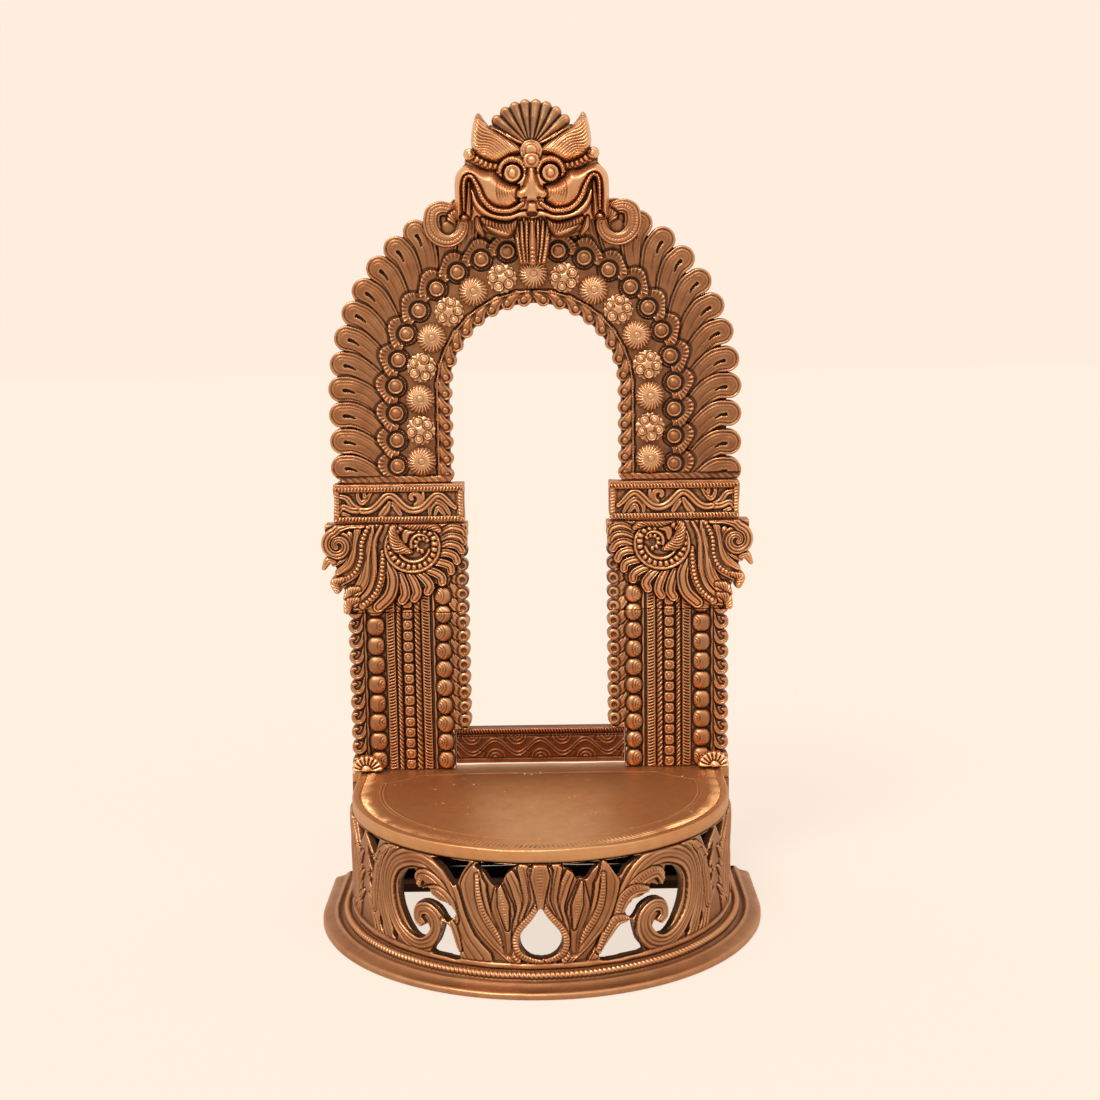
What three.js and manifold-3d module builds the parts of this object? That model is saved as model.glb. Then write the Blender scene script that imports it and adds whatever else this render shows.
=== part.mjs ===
import * as THREE from "three";
import { mergeVertices } from "three/addons/utils/BufferGeometryUtils.js";
import Module from "manifold-3d";

const wasm = await Module();
wasm.setup();

// Deity throne in cast brass: a pierced D-shaped base, and a back frame that lifts off upwards.
// Millimetres, +Z up, the front faces -Y, and the origin is on the ground at the middle of the plan.

// Clearances between pieces
const SEAT_GAP = 0.3;
const CLEAR = 0.3;
const BITE = 0.6; // how deep a raised form runs into the plate that it is cast with

// Base plan: a half round in front, straight sides behind
const DRUM_RADIUS = 95.5;
const STRAIGHT_SIDE = 44;
const ARC_STEPS = 36;

// Foot
const FOOT_REACH = 16.5;
const FOOT_EDGE = 2.8;
const FOOT_TOP = 7.8;
const FOOT_INNER = 14;
const FOOT_FLANGE = 3;
const FOOT_BACK_BAR = 20;
const FOOT_SHOULDER = 6; // width of the sloping edge
const FOOT_SLOPE = 1.8;
const FOOT_ROLL = 2.4; // width of the rounded lip at its rim
const FOOT_GROOVE = 1.6;
const ROPE_RADIUS = 1.7;
const ROPE_REACH = 5.1;

// Pierced wall
const WALL_THICKNESS = 4;
const WALL_COVE = 1.4;
const WALL_COVE_HEIGHT = 3.6;

// Seat
const SEAT_HEIGHT = 64.5;
const SEAT_THICKNESS = 3.5;
const RIM_HEIGHT = 6.2;
const RIM_WIDTH = 4.6;

// Back corner posts and panel
const POST_REACH = 4.5;
const POST_WIDTH = 9;
const POST_DEPTH = 8.7;
const PANEL_THICKNESS = 2;

// Back frame
const FRAME_THICKNESS = 7.5;
const FRAME_SETBACK = 1.5;
const PILLAR_WIDTH = 64;
const PILLAR_HEIGHT = 84.8;
const CAPITAL_HEIGHT = 47;
const CAPITAL_PROUD = 3.5;
const VOLUTE_REACH = 13.5;
const ABACUS_HEIGHT = 20.4;
const ABACUS_OVERHANG = 5;
const ABACUS_PROUD = 3.4;
const PANEL_BORDER = 3.2;
const PANEL_RECESS = 1.2;
const RAIL_HEIGHT = 19.2;
const RAIL_LIFT = 2;
const RAIL_THICKNESS = 5.4;
const RAIL_HOUSING = 9; // how far each end of the rail sits in the foot of a pillar

// Tongues, sockets and spine rods
const TENON_WIDTH = 16;
const TENON_THICKNESS = 3;
const TENON_DEPTH = 15;
const TENON_RISE = 10;
const SOCKET_WALL = 1.6;
const SOCKET_HEIGHT = 9;
const ROD_SIZE = 3;
const ROD_REACH = 12;

// Arch
const ARCH_OVERHANG = 4; // beyond the pillars
const ARCH_SETBACK = 8.2; // from the pillars' inner edge
const ARCH_LEG = 44.8;
const PETAL_BAND = 24.5;
const PETAL_ROWS = [
  { side: -1, first: -5.1, pitch: 13.5 }, // the first petal's distance from the foot of the arch
  { side: 1, first: 4.5, pitch: 14.5 },
];
const PETAL_RISE = 2.2;
const PETAL_CROWN_ANGLE = 16;
const PETAL_SHOULDER = 0.02; // extra reach halfway up the round
const SCALLOP_PITCH = 8.6;
const SCALLOP_DEPTH = 2.3;
const CROWN_LIFT = 2.1; // how much higher the opening, rosettes and florets stand than the petals' circle
const ROSETTE_COUNT_PER_SIDE = 8;
const ROSETTE_SETBACK = 14.8; // from the arch's inner edge to the middle of a rosette
const ROSETTE_FOOT = 11.1; // height of the lowest rosettes over the foot of the arch
const ROSETTE_FILL = 0.442; // radius as a share of the pitch
const ROSETTE_RISE = 3.6;
const FLORET_SETBACK = 6.4; // from the rosettes' edge to the middle of a floret
const FLORET_FIRST = 8.5;
const FLORET_PITCH = 13.75;
const FLORET_SIZE = 6;
const FLORET_RISE = 2.6;

// Mask
const MASK_HALF_WIDTH = 38.5;
const MASK_DRAWN_HALF_WIDTH = 38.5; // the features below are drawn for this width and scaled
const MASK_DEPTH = 17;
const BEARD_LENGTH = 43;
const BEARD_OVERLAP = 3.2; // its tip hangs over the crown rosette
const CREST_RADIUS = 27;
const CREST_RISE = 12;
const CREST_SPREAD = 140;
const CREST_RIDGES = 10;
const RIVET_RADIUS = 2.2;
const RIVET_HEAD = 4.6;
const RIVET_HEAD_HEIGHT = 1.2;
const RIVET_DROP = 22;
const RIVET_DEPTH = 4;

// Scrolls and shells
const CURL_RADIUS = 12;
const CURL_HOLE = 5.2;
const CURL_THICKNESS = 3.4;
const CURL_SPREAD = 5; // beside the mask
const CURL_DROP = 23; // below the middle of the mask
const CURL_OPENING = [112, 356];
const SHELL_RADIUS = 8.6;
const SHELL_RIDGES = 7;
const SHELL_THICKNESS = 4.6;

// Places that follow from the sizes above
const BACK_Y = (DRUM_RADIUS + FOOT_REACH + STRAIGHT_SIDE) / 2;
const PLAN_CENTRE_Y = BACK_Y - STRAIGHT_SIDE;
const FRAME_BACK_Y = BACK_Y - FRAME_SETBACK;
const FRAME_FRONT_Y = FRAME_BACK_Y - FRAME_THICKNESS;
const WALL_BOTTOM = FOOT_TOP + SEAT_GAP;
const WALL_TOP = SEAT_HEIGHT - RIM_HEIGHT - SEAT_GAP;
const TENON_BACK_Y = BACK_Y - PANEL_THICKNESS - SEAT_GAP - CLEAR - SOCKET_WALL;
const POST_FRONT_Y = BACK_Y - PANEL_THICKNESS - SEAT_GAP - POST_DEPTH;
const HALF_BACK = DRUM_RADIUS + POST_REACH;
const PILLAR_FOOT = SEAT_HEIGHT + SEAT_GAP;
const PILLAR_TOP = PILLAR_FOOT + PILLAR_HEIGHT;
const CAPITAL_FOOT = PILLAR_TOP + SEAT_GAP;
const CAPITAL_TOP = CAPITAL_FOOT + CAPITAL_HEIGHT;
const ABACUS_FOOT = CAPITAL_TOP + SEAT_GAP;
const ABACUS_TOP = ABACUS_FOOT + ABACUS_HEIGHT;
const ARCH_FOOT = ABACUS_TOP + SEAT_GAP;
const SPRINGING = ARCH_FOOT + ARCH_LEG;
const PILLAR_OUTER = HALF_BACK;
const PILLAR_INNER = PILLAR_OUTER - PILLAR_WIDTH;
const PILLAR_MIDDLE = (PILLAR_INNER + PILLAR_OUTER) / 2;
const RAIL_TOP = PILLAR_FOOT + RAIL_LIFT + RAIL_HEIGHT;
const ARCH_OUTER = PILLAR_OUTER + ARCH_OVERHANG;
const ARCH_INNER = PILLAR_INNER + ARCH_SETBACK;
const ROSETTE_ORBIT = ARCH_INNER + ROSETTE_SETBACK;
const ROSETTE_PITCH = (halfLength(ROSETTE_ORBIT, CROWN_LIFT) - ROSETTE_FOOT) / ROSETTE_COUNT_PER_SIDE;
const ROSETTE_SIZE = ROSETTE_PITCH * ROSETTE_FILL;
const FLORET_RADIUS = ROSETTE_ORBIT + ROSETTE_SIZE + FLORET_SETBACK;
const MASK_SCALE = MASK_HALF_WIDTH / MASK_DRAWN_HALF_WIDTH;
const MASK_BACK_Y = FRAME_FRONT_Y - Math.max(PETAL_RISE, FLORET_RISE) - SEAT_GAP;
const CROWN_ROSETTE_TOP = ROSETTE_ORBIT + CROWN_LIFT + ROSETTE_SIZE;
const MASK_CENTRE_RISE = CROWN_ROSETTE_TOP + (BEARD_LENGTH - BEARD_OVERLAP) * MASK_SCALE;
const MASK_Z = SPRINGING + MASK_CENTRE_RISE;
const CURL_X = MASK_HALF_WIDTH + CURL_SPREAD;
const CURL_RISE = MASK_CENTRE_RISE - CURL_DROP * MASK_SCALE;

const throne = new THREE.Group();

// Solids and geometries

function solidOf(geometry) {
  const bare = geometry.clone();
  bare.deleteAttribute("normal");
  bare.deleteAttribute("uv");
  const merged = mergeVertices(bare, 1e-4);
  const mesh = new wasm.Mesh({
    numProp: 3,
    vertProperties: new Float32Array(merged.attributes.position.array),
    triVerts: new Uint32Array(merged.index.array),
  });
  return new wasm.Manifold(mesh);
}

function geometryOf(solid) {
  const mesh = solid.getMesh();
  const geometry = new THREE.BufferGeometry();
  geometry.setAttribute("position", new THREE.BufferAttribute(new Float32Array(mesh.vertProperties), 3));
  geometry.setIndex(new THREE.BufferAttribute(new Uint32Array(mesh.triVerts), 1));
  geometry.computeVertexNormals();
  return geometry;
}

function joined(geometries) {
  return geometries.map(solidOf).reduce((whole, piece) => whole.add(piece));
}

function mirrored(geometry) {
  const copy = geometry.clone();
  copy.scale(-1, 1, 1);
  const index = copy.index.array;
  for (let i = 0; i < index.length; i += 3) {
    [index[i], index[i + 1]] = [index[i + 1], index[i]];
  }
  copy.computeVertexNormals();
  return copy;
}

function addPiece(name, geometry, colour, roughness = 0.42) {
  const material = new THREE.MeshStandardMaterial({ color: colour, roughness, metalness: 1 });
  const mesh = new THREE.Mesh(geometry, material);
  mesh.name = name;
  throne.add(mesh);
}

function addPair(name, geometry, colour) {
  addPiece(`right_${name}`, geometry, colour);
  addPiece(`left_${name}`, mirrored(geometry), colour);
}

// A block from its low corner to its high corner
function block(low, high) {
  const size = high.map((value, axis) => value - low[axis]);
  const geometry = new THREE.BoxGeometry(...size);
  geometry.translate(...low.map((value, axis) => value + size[axis] / 2));
  return geometry;
}

// A flat outline in the upright X-Z plane, made thick between two depths
function slab(points, frontY, backY) {
  const shape = new THREE.Shape(points.map(([x, z]) => new THREE.Vector2(x, z)));
  const geometry = new THREE.ExtrudeGeometry(shape, { depth: backY - frontY, bevelEnabled: false });
  geometry.rotateX(Math.PI / 2);
  geometry.translate(0, backY, 0);
  return geometry;
}

// A closed smooth outline through hand-placed points
function smooth(points, steps) {
  const knots = points.map(([a, b]) => new THREE.Vector3(a, b, 0));
  const curve = new THREE.CatmullRomCurve3(knots, true, "centripetal");
  return curve.getPoints(steps).slice(0, steps).map((p) => [p.x, p.y]);
}

// An ellipsoid
function dome(centre, radii, around = 8, up = 6) {
  const geometry = new THREE.SphereGeometry(1, around, up);
  geometry.rotateX(Math.PI / 2);
  geometry.scale(...radii);
  geometry.translate(...centre);
  return geometry;
}

// A round bar along a curve through points
function bar(points, radius, steps, sides = 6) {
  const curve = new THREE.CatmullRomCurve3(points.map((p) => new THREE.Vector3(...p)));
  const section = new THREE.Shape();
  for (let i = 0; i < sides; i += 1) {
    const angle = (i / sides) * 2 * Math.PI;
    const corner = [radius * Math.cos(angle), radius * Math.sin(angle)];
    if (i === 0) section.moveTo(...corner);
    else section.lineTo(...corner);
  }
  return new THREE.ExtrudeGeometry(section, { steps, extrudePath: curve, bevelEnabled: false });
}

// The base's plan

// Stations along the U-shaped wall line, from the right back corner round the front to the left one
function planStations(backY) {
  const stations = [{ x: DRUM_RADIUS, y: backY, nx: 1, ny: 0 }];
  for (let i = 0; i <= ARC_STEPS; i += 1) {
    const angle = Math.PI / 2 - (i / ARC_STEPS) * Math.PI;
    const [nx, ny] = [Math.sin(angle), -Math.cos(angle)];
    stations.push({ x: DRUM_RADIUS * nx, y: PLAN_CENTRE_Y + DRUM_RADIUS * ny, nx, ny });
  }
  stations.push({ x: -DRUM_RADIUS, y: backY, nx: -1, ny: 0 });
  return stations;
}

// A section of [outward offset, height] points carried along the wall line
function carried(section, backY) {
  const stations = planStations(backY);
  const positions = stations.flatMap((s) => section.flatMap(([o, z]) => [s.x + s.nx * o, s.y + s.ny * o, z]));
  const count = section.length;
  const index = [];
  for (let i = 0; i + 1 < stations.length; i += 1) {
    for (let j = 0; j < count; j += 1) {
      const [a, b] = [i * count + j, i * count + ((j + 1) % count)];
      index.push(a, b, b + count, a, b + count, a + count);
    }
  }
  const last = (stations.length - 1) * count;
  const caps = THREE.ShapeUtils.triangulateShape(section.map(([o, z]) => new THREE.Vector2(o, z)), []);
  for (const [a, b, c] of caps) {
    index.push(a, c, b, last + a, last + b, last + c);
  }
  const geometry = new THREE.BufferGeometry();
  geometry.setAttribute("position", new THREE.Float32BufferAttribute(positions, 3));
  geometry.setIndex(index);
  return outward(geometry);
}

// Turns a closed mesh so that its faces point out
function outward(geometry) {
  const [position, index] = [geometry.attributes.position, geometry.index.array];
  const corner = (i) => new THREE.Vector3().fromBufferAttribute(position, index[i]);
  let volume = 0;
  for (let i = 0; i < index.length; i += 3) {
    volume += corner(i).dot(corner(i + 1).cross(corner(i + 2)));
  }
  if (volume < 0) {
    for (let i = 0; i < index.length; i += 3) {
      [index[i], index[i + 1]] = [index[i + 1], index[i]];
    }
  }
  return geometry;
}

// Foot

function footPlinth() {
  const shoulder = FOOT_EDGE + FOOT_SLOPE;
  const section = [
    [-FOOT_INNER, 0],
    [FOOT_REACH, 0],
    [FOOT_REACH, FOOT_EDGE],
    [FOOT_REACH - FOOT_ROLL, FOOT_EDGE + FOOT_SLOPE / 2],
    [FOOT_REACH - FOOT_SHOULDER, shoulder],
    [ROPE_REACH + FOOT_GROOVE, shoulder],
    [ROPE_REACH, FOOT_TOP - ROPE_RADIUS],
    [ROPE_REACH - ROPE_RADIUS, FOOT_TOP],
    [-FOOT_INNER / 2, FOOT_TOP],
    [-FOOT_INNER / 2, FOOT_FLANGE],
    [-FOOT_INNER, FOOT_FLANGE],
  ];
  const innerSide = DRUM_RADIUS - FOOT_INNER / 2;
  const backBar = block([-innerSide, BACK_Y - FOOT_BACK_BAR, 0], [innerSide, BACK_Y, FOOT_TOP]);
  return geometryOf(joined([carried(section, BACK_Y), backBar]));
}

// Pierced wall: the pattern is drawn for a panel of this size and stretched to fit the real one
const PATTERN_HALF_LENGTH = 183;
const PATTERN_LOW = 8.1;
const PATTERN_HIGH = 58;
const PATTERN_TOP = 55.2; // the top holes stop here, under the seat's rim
const PATTERN_TURN = 104.5; // the scrolls repeat, mirrored, round the side

const TEAR = [
  [0, 37.6], [-3.8, 31.5], [-9.2, 24.5], [-5.6, 14.4], [0, 13.1], [5.6, 14.4], [9.2, 24.5], [3.8, 31.5],
];
const SCROLL_HOLE = [
  [63, 49.4], [69.6, 47.6], [74.4, 42], [75.2, 36], [73.6, 29], [69, 21.4], [63.6, 16.8], [56, 20],
  [60.4, 21.8], [64, 26], [60.6, 34.4], [50, 33.2], [42, 30], [44, 36.6], [52.4, 39.4],
];
const RIGHT_HOLES = [
  [[10, 55], [27.4, 55], [24.2, 53], [21.4, 49.6], [16.6, 50.2]],
  [[32, 55], [46, 55], [41.2, 52.6], [37.4, 48.6]],
  [[36.3, 25.4], [43.2, 27.6], [47, 16.3], [50.4, 11.6], [40.4, 11.4], [28.4, 11.4], [29.4, 17.2]],
  SCROLL_HOLE,
];
// The hand-made pattern isn't mirrored exactly: the left side's holes differ near the middle
const LEFT_HOLES = [
  [[11.4, 55], [29.6, 55], [25.6, 52.4], [19.8, 46.4], [16.6, 50.2]],
  [[34, 55], [50, 55], [46, 51.8], [40.6, 45.4], [38, 50]],
  [[42.6, 25.6], [46.2, 27.6], [50.4, 16.8], [53.6, 11.6], [47, 11.4], [38.6, 11.4], [40, 17.4]],
  SCROLL_HOLE,
];
const SIDE_HOLES = [
  [[89, 55], [103, 55], [95.3, 48.4]],
  [[95, 45], [101.6, 50], [101.4, 33], [97.4, 36]],
  [[96.5, 15], [99, 20], [97.5, 25], [95.5, 20]],
];

function turned(outline) {
  return outline.map(([s, z]) => [2 * PATTERN_TURN - s, z]);
}

function wallPlace(along) {
  const quarter = (Math.PI / 2) * DRUM_RADIUS;
  const angle = Math.max(-Math.PI / 2, Math.min(Math.PI / 2, along / DRUM_RADIUS));
  const past = Math.max(0, Math.abs(along) - quarter);
  const normal = new THREE.Vector3(Math.sin(angle), -Math.cos(angle), 0);
  const tangent = new THREE.Vector3(Math.cos(angle), Math.sin(angle), 0);
  const point = normal.clone().multiplyScalar(DRUM_RADIUS);
  point.y += PLAN_CENTRE_Y + past;
  return { point, normal, tangent };
}

function wallCutter(outline, side) {
  const quarter = (Math.PI / 2) * DRUM_RADIUS;
  const halfLength = quarter + POST_FRONT_Y - PLAN_CENTRE_Y;
  const stretch = halfLength / PATTERN_HALF_LENGTH;
  const lift = (WALL_TOP - WALL_BOTTOM) / (PATTERN_HIGH - PATTERN_LOW);
  const fitted = outline.map(([s, z]) => [
    side * s * stretch,
    WALL_BOTTOM + (Math.min(z, PATTERN_TOP) - PATTERN_LOW) * lift,
  ]);
  const middle = fitted.reduce((sum, [s]) => sum + s, 0) / fitted.length;
  const round = smooth(fitted.map(([s, z]) => [s - middle, z]), outline.length * 2);
  const shape = new THREE.Shape(round.map(([s, z]) => new THREE.Vector2(s, z)));
  const depth = WALL_THICKNESS * 4;
  const geometry = new THREE.ExtrudeGeometry(shape, { depth, bevelEnabled: false });
  geometry.translate(0, 0, -depth * 0.75);
  const { point, normal, tangent } = wallPlace(middle);
  const matrix = new THREE.Matrix4().makeBasis(tangent, new THREE.Vector3(0, 0, 1), normal);
  matrix.setPosition(point);
  geometry.applyMatrix4(matrix);
  return geometry;
}

function piercedDrum() {
  const section = [
    [-WALL_THICKNESS, WALL_BOTTOM],
    [WALL_COVE, WALL_BOTTOM],
    [WALL_COVE * 0.4, WALL_BOTTOM + WALL_COVE_HEIGHT * 0.4],
    [0, WALL_BOTTOM + WALL_COVE_HEIGHT],
    [0, WALL_TOP],
    [-WALL_THICKNESS, WALL_TOP],
  ];
  let wall = solidOf(carried(section, POST_FRONT_Y - SEAT_GAP));
  wall = wall.subtract(solidOf(wallCutter(TEAR, 1)));
  for (const [side, holes] of [[1, RIGHT_HOLES], [-1, LEFT_HOLES]]) {
    for (const outline of [...holes, ...RIGHT_HOLES.map(turned), ...SIDE_HOLES]) {
      wall = wall.subtract(solidOf(wallCutter(outline, side)));
    }
  }
  return geometryOf(wall);
}

// Seat

function tenonSpan(clear) {
  return {
    low: [PILLAR_MIDDLE - TENON_WIDTH / 2 - clear, TENON_BACK_Y - TENON_THICKNESS - clear],
    high: [PILLAR_MIDDLE + TENON_WIDTH / 2 + clear, TENON_BACK_Y + clear],
  };
}

function seatPlate() {
  const outline = new THREE.Shape();
  outline.moveTo(DRUM_RADIUS, POST_FRONT_Y + 1);
  outline.lineTo(DRUM_RADIUS, PLAN_CENTRE_Y);
  for (const station of planStations(POST_FRONT_Y).slice(2, -2)) {
    outline.lineTo(station.x, station.y);
  }
  outline.lineTo(-DRUM_RADIUS, PLAN_CENTRE_Y);
  outline.lineTo(-DRUM_RADIUS, POST_FRONT_Y + 1);
  const plate = new THREE.ExtrudeGeometry(outline, { depth: SEAT_THICKNESS, bevelEnabled: false });
  plate.translate(0, 0, SEAT_HEIGHT - SEAT_THICKNESS);
  const [rimFoot, rimTop] = [SEAT_HEIGHT - RIM_HEIGHT, SEAT_HEIGHT];
  const rimSection = [[-RIM_WIDTH, rimFoot], [0, rimFoot], [0, rimTop], [-RIM_WIDTH, rimTop]];
  const rim = carried(rimSection, POST_FRONT_Y + 1);
  const backBar = block([-HALF_BACK, POST_FRONT_Y, rimFoot], [HALF_BACK, BACK_Y, rimTop]);
  let seat = joined([plate, rim, backBar]);
  const { low, high } = tenonSpan(CLEAR);
  const slot = block([low[0], low[1], rimFoot - 1], [high[0], high[1], rimTop + 1]);
  seat = seat.subtract(solidOf(slot));
  seat = seat.subtract(solidOf(mirrored(slot)));
  return geometryOf(seat);
}

function backPost() {
  const outer = HALF_BACK;
  return block([outer - POST_WIDTH, POST_FRONT_Y, WALL_BOTTOM], [outer, POST_FRONT_Y + POST_DEPTH, WALL_TOP]);
}

function backPanel() {
  return block([-HALF_BACK, BACK_Y - PANEL_THICKNESS, WALL_BOTTOM], [HALF_BACK, BACK_Y, WALL_TOP]);
}

function tenonSocket() {
  const inner = tenonSpan(CLEAR);
  const outer = tenonSpan(CLEAR + SOCKET_WALL);
  const collar = block([...outer.low, WALL_TOP - SOCKET_HEIGHT], [...outer.high, WALL_TOP]);
  const bore = block([...inner.low, WALL_TOP - SOCKET_HEIGHT - 1], [...inner.high, WALL_TOP + 1]);
  return geometryOf(solidOf(collar).subtract(solidOf(bore)));
}

function tenon() {
  const { low, high } = tenonSpan(0);
  return block([...low, PILLAR_FOOT - TENON_DEPTH], [...high, PILLAR_FOOT + TENON_RISE]);
}

// Spine rod: ties pillar, capital, abacus and arch leg
function rodBlock(clear) {
  const half = ROD_SIZE / 2 + clear;
  const middleY = (FRAME_FRONT_Y + FRAME_BACK_Y) / 2;
  const [low, high] = [CAPITAL_FOOT - ROD_REACH - clear, ARCH_FOOT + ROD_REACH + clear];
  return block([PILLAR_MIDDLE - half, middleY - half, low], [PILLAR_MIDDLE + half, middleY + half, high]);
}

// Pillar

// Columns from the inner edge outwards: width, bead pitch (0 for a plain rib), rise
const PILLAR_COLUMNS = [
  { width: 9.3, pitch: 0, rise: 0 },
  { width: 9.1, pitch: 9.85, rise: 2.8 },
  { width: 7.1, pitch: 0, rise: 1 },
  { width: 4.1, pitch: 0, rise: 1.2 },
  { width: 5.8, pitch: 5.8, rise: 2.1 },
  { width: 3.6, pitch: 0, rise: 1.2 },
  { width: 5.6, pitch: 0, rise: 1 },
  { width: 9.8, pitch: 10.35, rise: 3 },
  { width: 9.6, pitch: 0, rise: 0 },
];
const RIB_SHARE = 0.76; // how much of its column a plain rib fills
const COLUMN_INSET = 1;
const EDGE_WAVE = 2.8;
const INNER_WAVE_PITCH = 7.55;
const OUTER_WAVE_PITCH = 8.15;

// Points up an edge that swells once in each pitch
function wavyEdge(x, direction, low, high, pitch, depth) {
  const points = [];
  for (let foot = low; foot < high; foot += pitch) {
    points.push([x - direction * depth, foot], [x, foot + pitch * 0.3], [x, foot + pitch * 0.7]);
  }
  const inside = points.filter((point) => point[1] < high);
  inside.push([x - direction * depth, high]);
  return inside;
}

function beadColumn(x, width, rise, pitch, low, high) {
  const count = Math.max(1, Math.round((high - low) / pitch));
  const step = (high - low) / count;
  const beads = [];
  for (let i = 0; i < count; i += 1) {
    const centre = [x, FRAME_FRONT_Y + BITE, low + (i + 0.5) * step];
    beads.push(dome(centre, [width * 0.48, rise + BITE, step * 0.54], 6, 4));
  }
  return beads;
}

function pillar() {
  const [low, high] = [PILLAR_FOOT, PILLAR_TOP];
  const outerEdge = wavyEdge(PILLAR_OUTER, 1, low, high, OUTER_WAVE_PITCH, EDGE_WAVE);
  const innerEdge = wavyEdge(PILLAR_INNER, -1, low, high, INNER_WAVE_PITCH, EDGE_WAVE);
  const [housingX, housingZ] = [PILLAR_INNER + RAIL_HOUSING, RAIL_TOP + SEAT_GAP];
  const aboveRail = innerEdge.filter((point) => point[1] > housingZ + 1);
  const housing = [[housingX, low], [housingX, housingZ], [PILLAR_INNER + EDGE_WAVE, housingZ]];
  const pieces = [slab([...housing, ...aboveRail, ...outerEdge.reverse()], FRAME_FRONT_Y, FRAME_BACK_Y)];
  const drawn = PILLAR_COLUMNS.reduce((sum, column) => sum + column.width, 0);
  const fit = (PILLAR_OUTER - PILLAR_INNER) / drawn;
  let x = PILLAR_INNER;
  for (const column of PILLAR_COLUMNS) {
    const width = column.width * fit;
    const middle = x + width / 2;
    if (column.pitch > 0) {
      pieces.push(...beadColumn(middle, width, column.rise, column.pitch, low + COLUMN_INSET, high - COLUMN_INSET));
    } else if (column.rise > 0) {
      const half = (width * RIB_SHARE) / 2;
      const ribLow = [middle - half, FRAME_FRONT_Y - column.rise, low + COLUMN_INSET];
      pieces.push(block(ribLow, [middle + half, FRAME_FRONT_Y + BITE, high - COLUMN_INSET]));
    }
    x += width;
  }
  const { low: slotLow, high: slotHigh } = tenonSpan(CLEAR);
  const mortise = block([...slotLow, low - 1], [...slotHigh, low + TENON_RISE + CLEAR]);
  return geometryOf(joined(pieces).subtract(solidOf(mortise)).subtract(solidOf(rodBlock(CLEAR))));
}

// Capital: a leafy block with an outer volute and a spiral roundel

const LEAVES = 5;
const ROUNDEL_RADIUS = 13.2;
const ROUNDEL_SHARE = 0.45;
const ROUNDEL_RISE = 3;
const VOLUTE_RADIUS = 6.5;
const VOLUTE_SHARE = 0.75; // height of its middle as a share of the capital's
const FEATHERS = 4;
const FEATHER_RADIUS = 1.7;
const ABACUS_SETBACK = 1.5;

// The outer side of the capital: [reach beyond the pillar, share of its height]
const VOLUTE_SIDE = [[1.5, 0.02], [3.5, 0.35], [5.5, 0.55]];
// The volute's round end: [short of its full reach, share of the capital's height]
const VOLUTE_END = [[2.5, 0.56], [0, 0.72], [1.5, 0.9], [6, 1]];

// A row of hanging leaf tips between the pillar's inner edge and the volute
function capitalOutline() {
  const [inner, outer] = [PILLAR_INNER + CLEAR, PILLAR_OUTER];
  const at = (share, up) => [inner + (outer - inner) * share, CAPITAL_FOOT + CAPITAL_HEIGHT * up];
  const points = [at(0, 1), at(0, 0.26)];
  for (let i = 0; i < LEAVES; i += 1) {
    points.push(at((i + 0.25) / LEAVES, 0.02), at((i + 0.75) / LEAVES, 0));
    points.push(at((i + 0.95) / LEAVES, 0.1));
  }
  const side = VOLUTE_SIDE.map(([reach, up]) => [outer + reach, CAPITAL_FOOT + CAPITAL_HEIGHT * up]);
  const end = VOLUTE_END.map(([short, up]) => [outer + VOLUTE_REACH - short, CAPITAL_FOOT + CAPITAL_HEIGHT * up]);
  return [...points, ...side, ...end];
}

// One of the long feathers that sweep from the roundel to the capital's outer foot
function feather(spread, roundelX, roundelZ, front) {
  const start = [roundelX + ROUNDEL_RADIUS * 0.9, front, roundelZ + ROUNDEL_RADIUS * (0.45 - spread)];
  const bend = [start[0] + ROUNDEL_RADIUS * (0.9 - spread * 0.4), front - 1, start[2] - CAPITAL_HEIGHT * 0.2];
  const end = [PILLAR_OUTER - 3 - spread * PILLAR_WIDTH * 0.3, front, CAPITAL_FOOT + CAPITAL_HEIGHT * 0.1];
  return bar([start, bend, end], FEATHER_RADIUS, 8);
}

function capital() {
  const front = FRAME_FRONT_Y - CAPITAL_PROUD;
  const roundelX = PILLAR_INNER + PILLAR_WIDTH * ROUNDEL_SHARE;
  const roundelZ = CAPITAL_TOP - ROUNDEL_RADIUS;
  const pieces = [slab(capitalOutline(), front, FRAME_BACK_Y)];
  pieces.push(dome([roundelX, front + BITE, roundelZ], [ROUNDEL_RADIUS, ROUNDEL_RISE, ROUNDEL_RADIUS], 14, 6));
  const voluteX = PILLAR_OUTER + VOLUTE_REACH - VOLUTE_RADIUS - BITE;
  const voluteZ = CAPITAL_FOOT + CAPITAL_HEIGHT * VOLUTE_SHARE;
  pieces.push(dome([voluteX, front + BITE, voluteZ], [VOLUTE_RADIUS, ROUNDEL_RISE, VOLUTE_RADIUS], 10, 6));
  for (let i = 0; i < FEATHERS; i += 1) {
    pieces.push(feather(i / (FEATHERS - 1), roundelX, roundelZ, front));
  }
  return geometryOf(joined(pieces).subtract(solidOf(rodBlock(CLEAR))));
}

// Abacus and rail: blocks with a recessed front panel
function framedBlock(low, high) {
  const body = block(low, high);
  const cut = block(
    [low[0] + PANEL_BORDER, low[1] - 1, low[2] + PANEL_BORDER],
    [high[0] - PANEL_BORDER, low[1] + PANEL_RECESS, high[2] - PANEL_BORDER],
  );
  return solidOf(body).subtract(solidOf(cut));
}

function abacus() {
  const low = [PILLAR_INNER + ABACUS_SETBACK, FRAME_FRONT_Y - ABACUS_PROUD, ABACUS_FOOT];
  const high = [PILLAR_OUTER + ABACUS_OVERHANG, FRAME_BACK_Y, ABACUS_TOP];
  return geometryOf(framedBlock(low, high).subtract(solidOf(rodBlock(CLEAR))));
}

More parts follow.
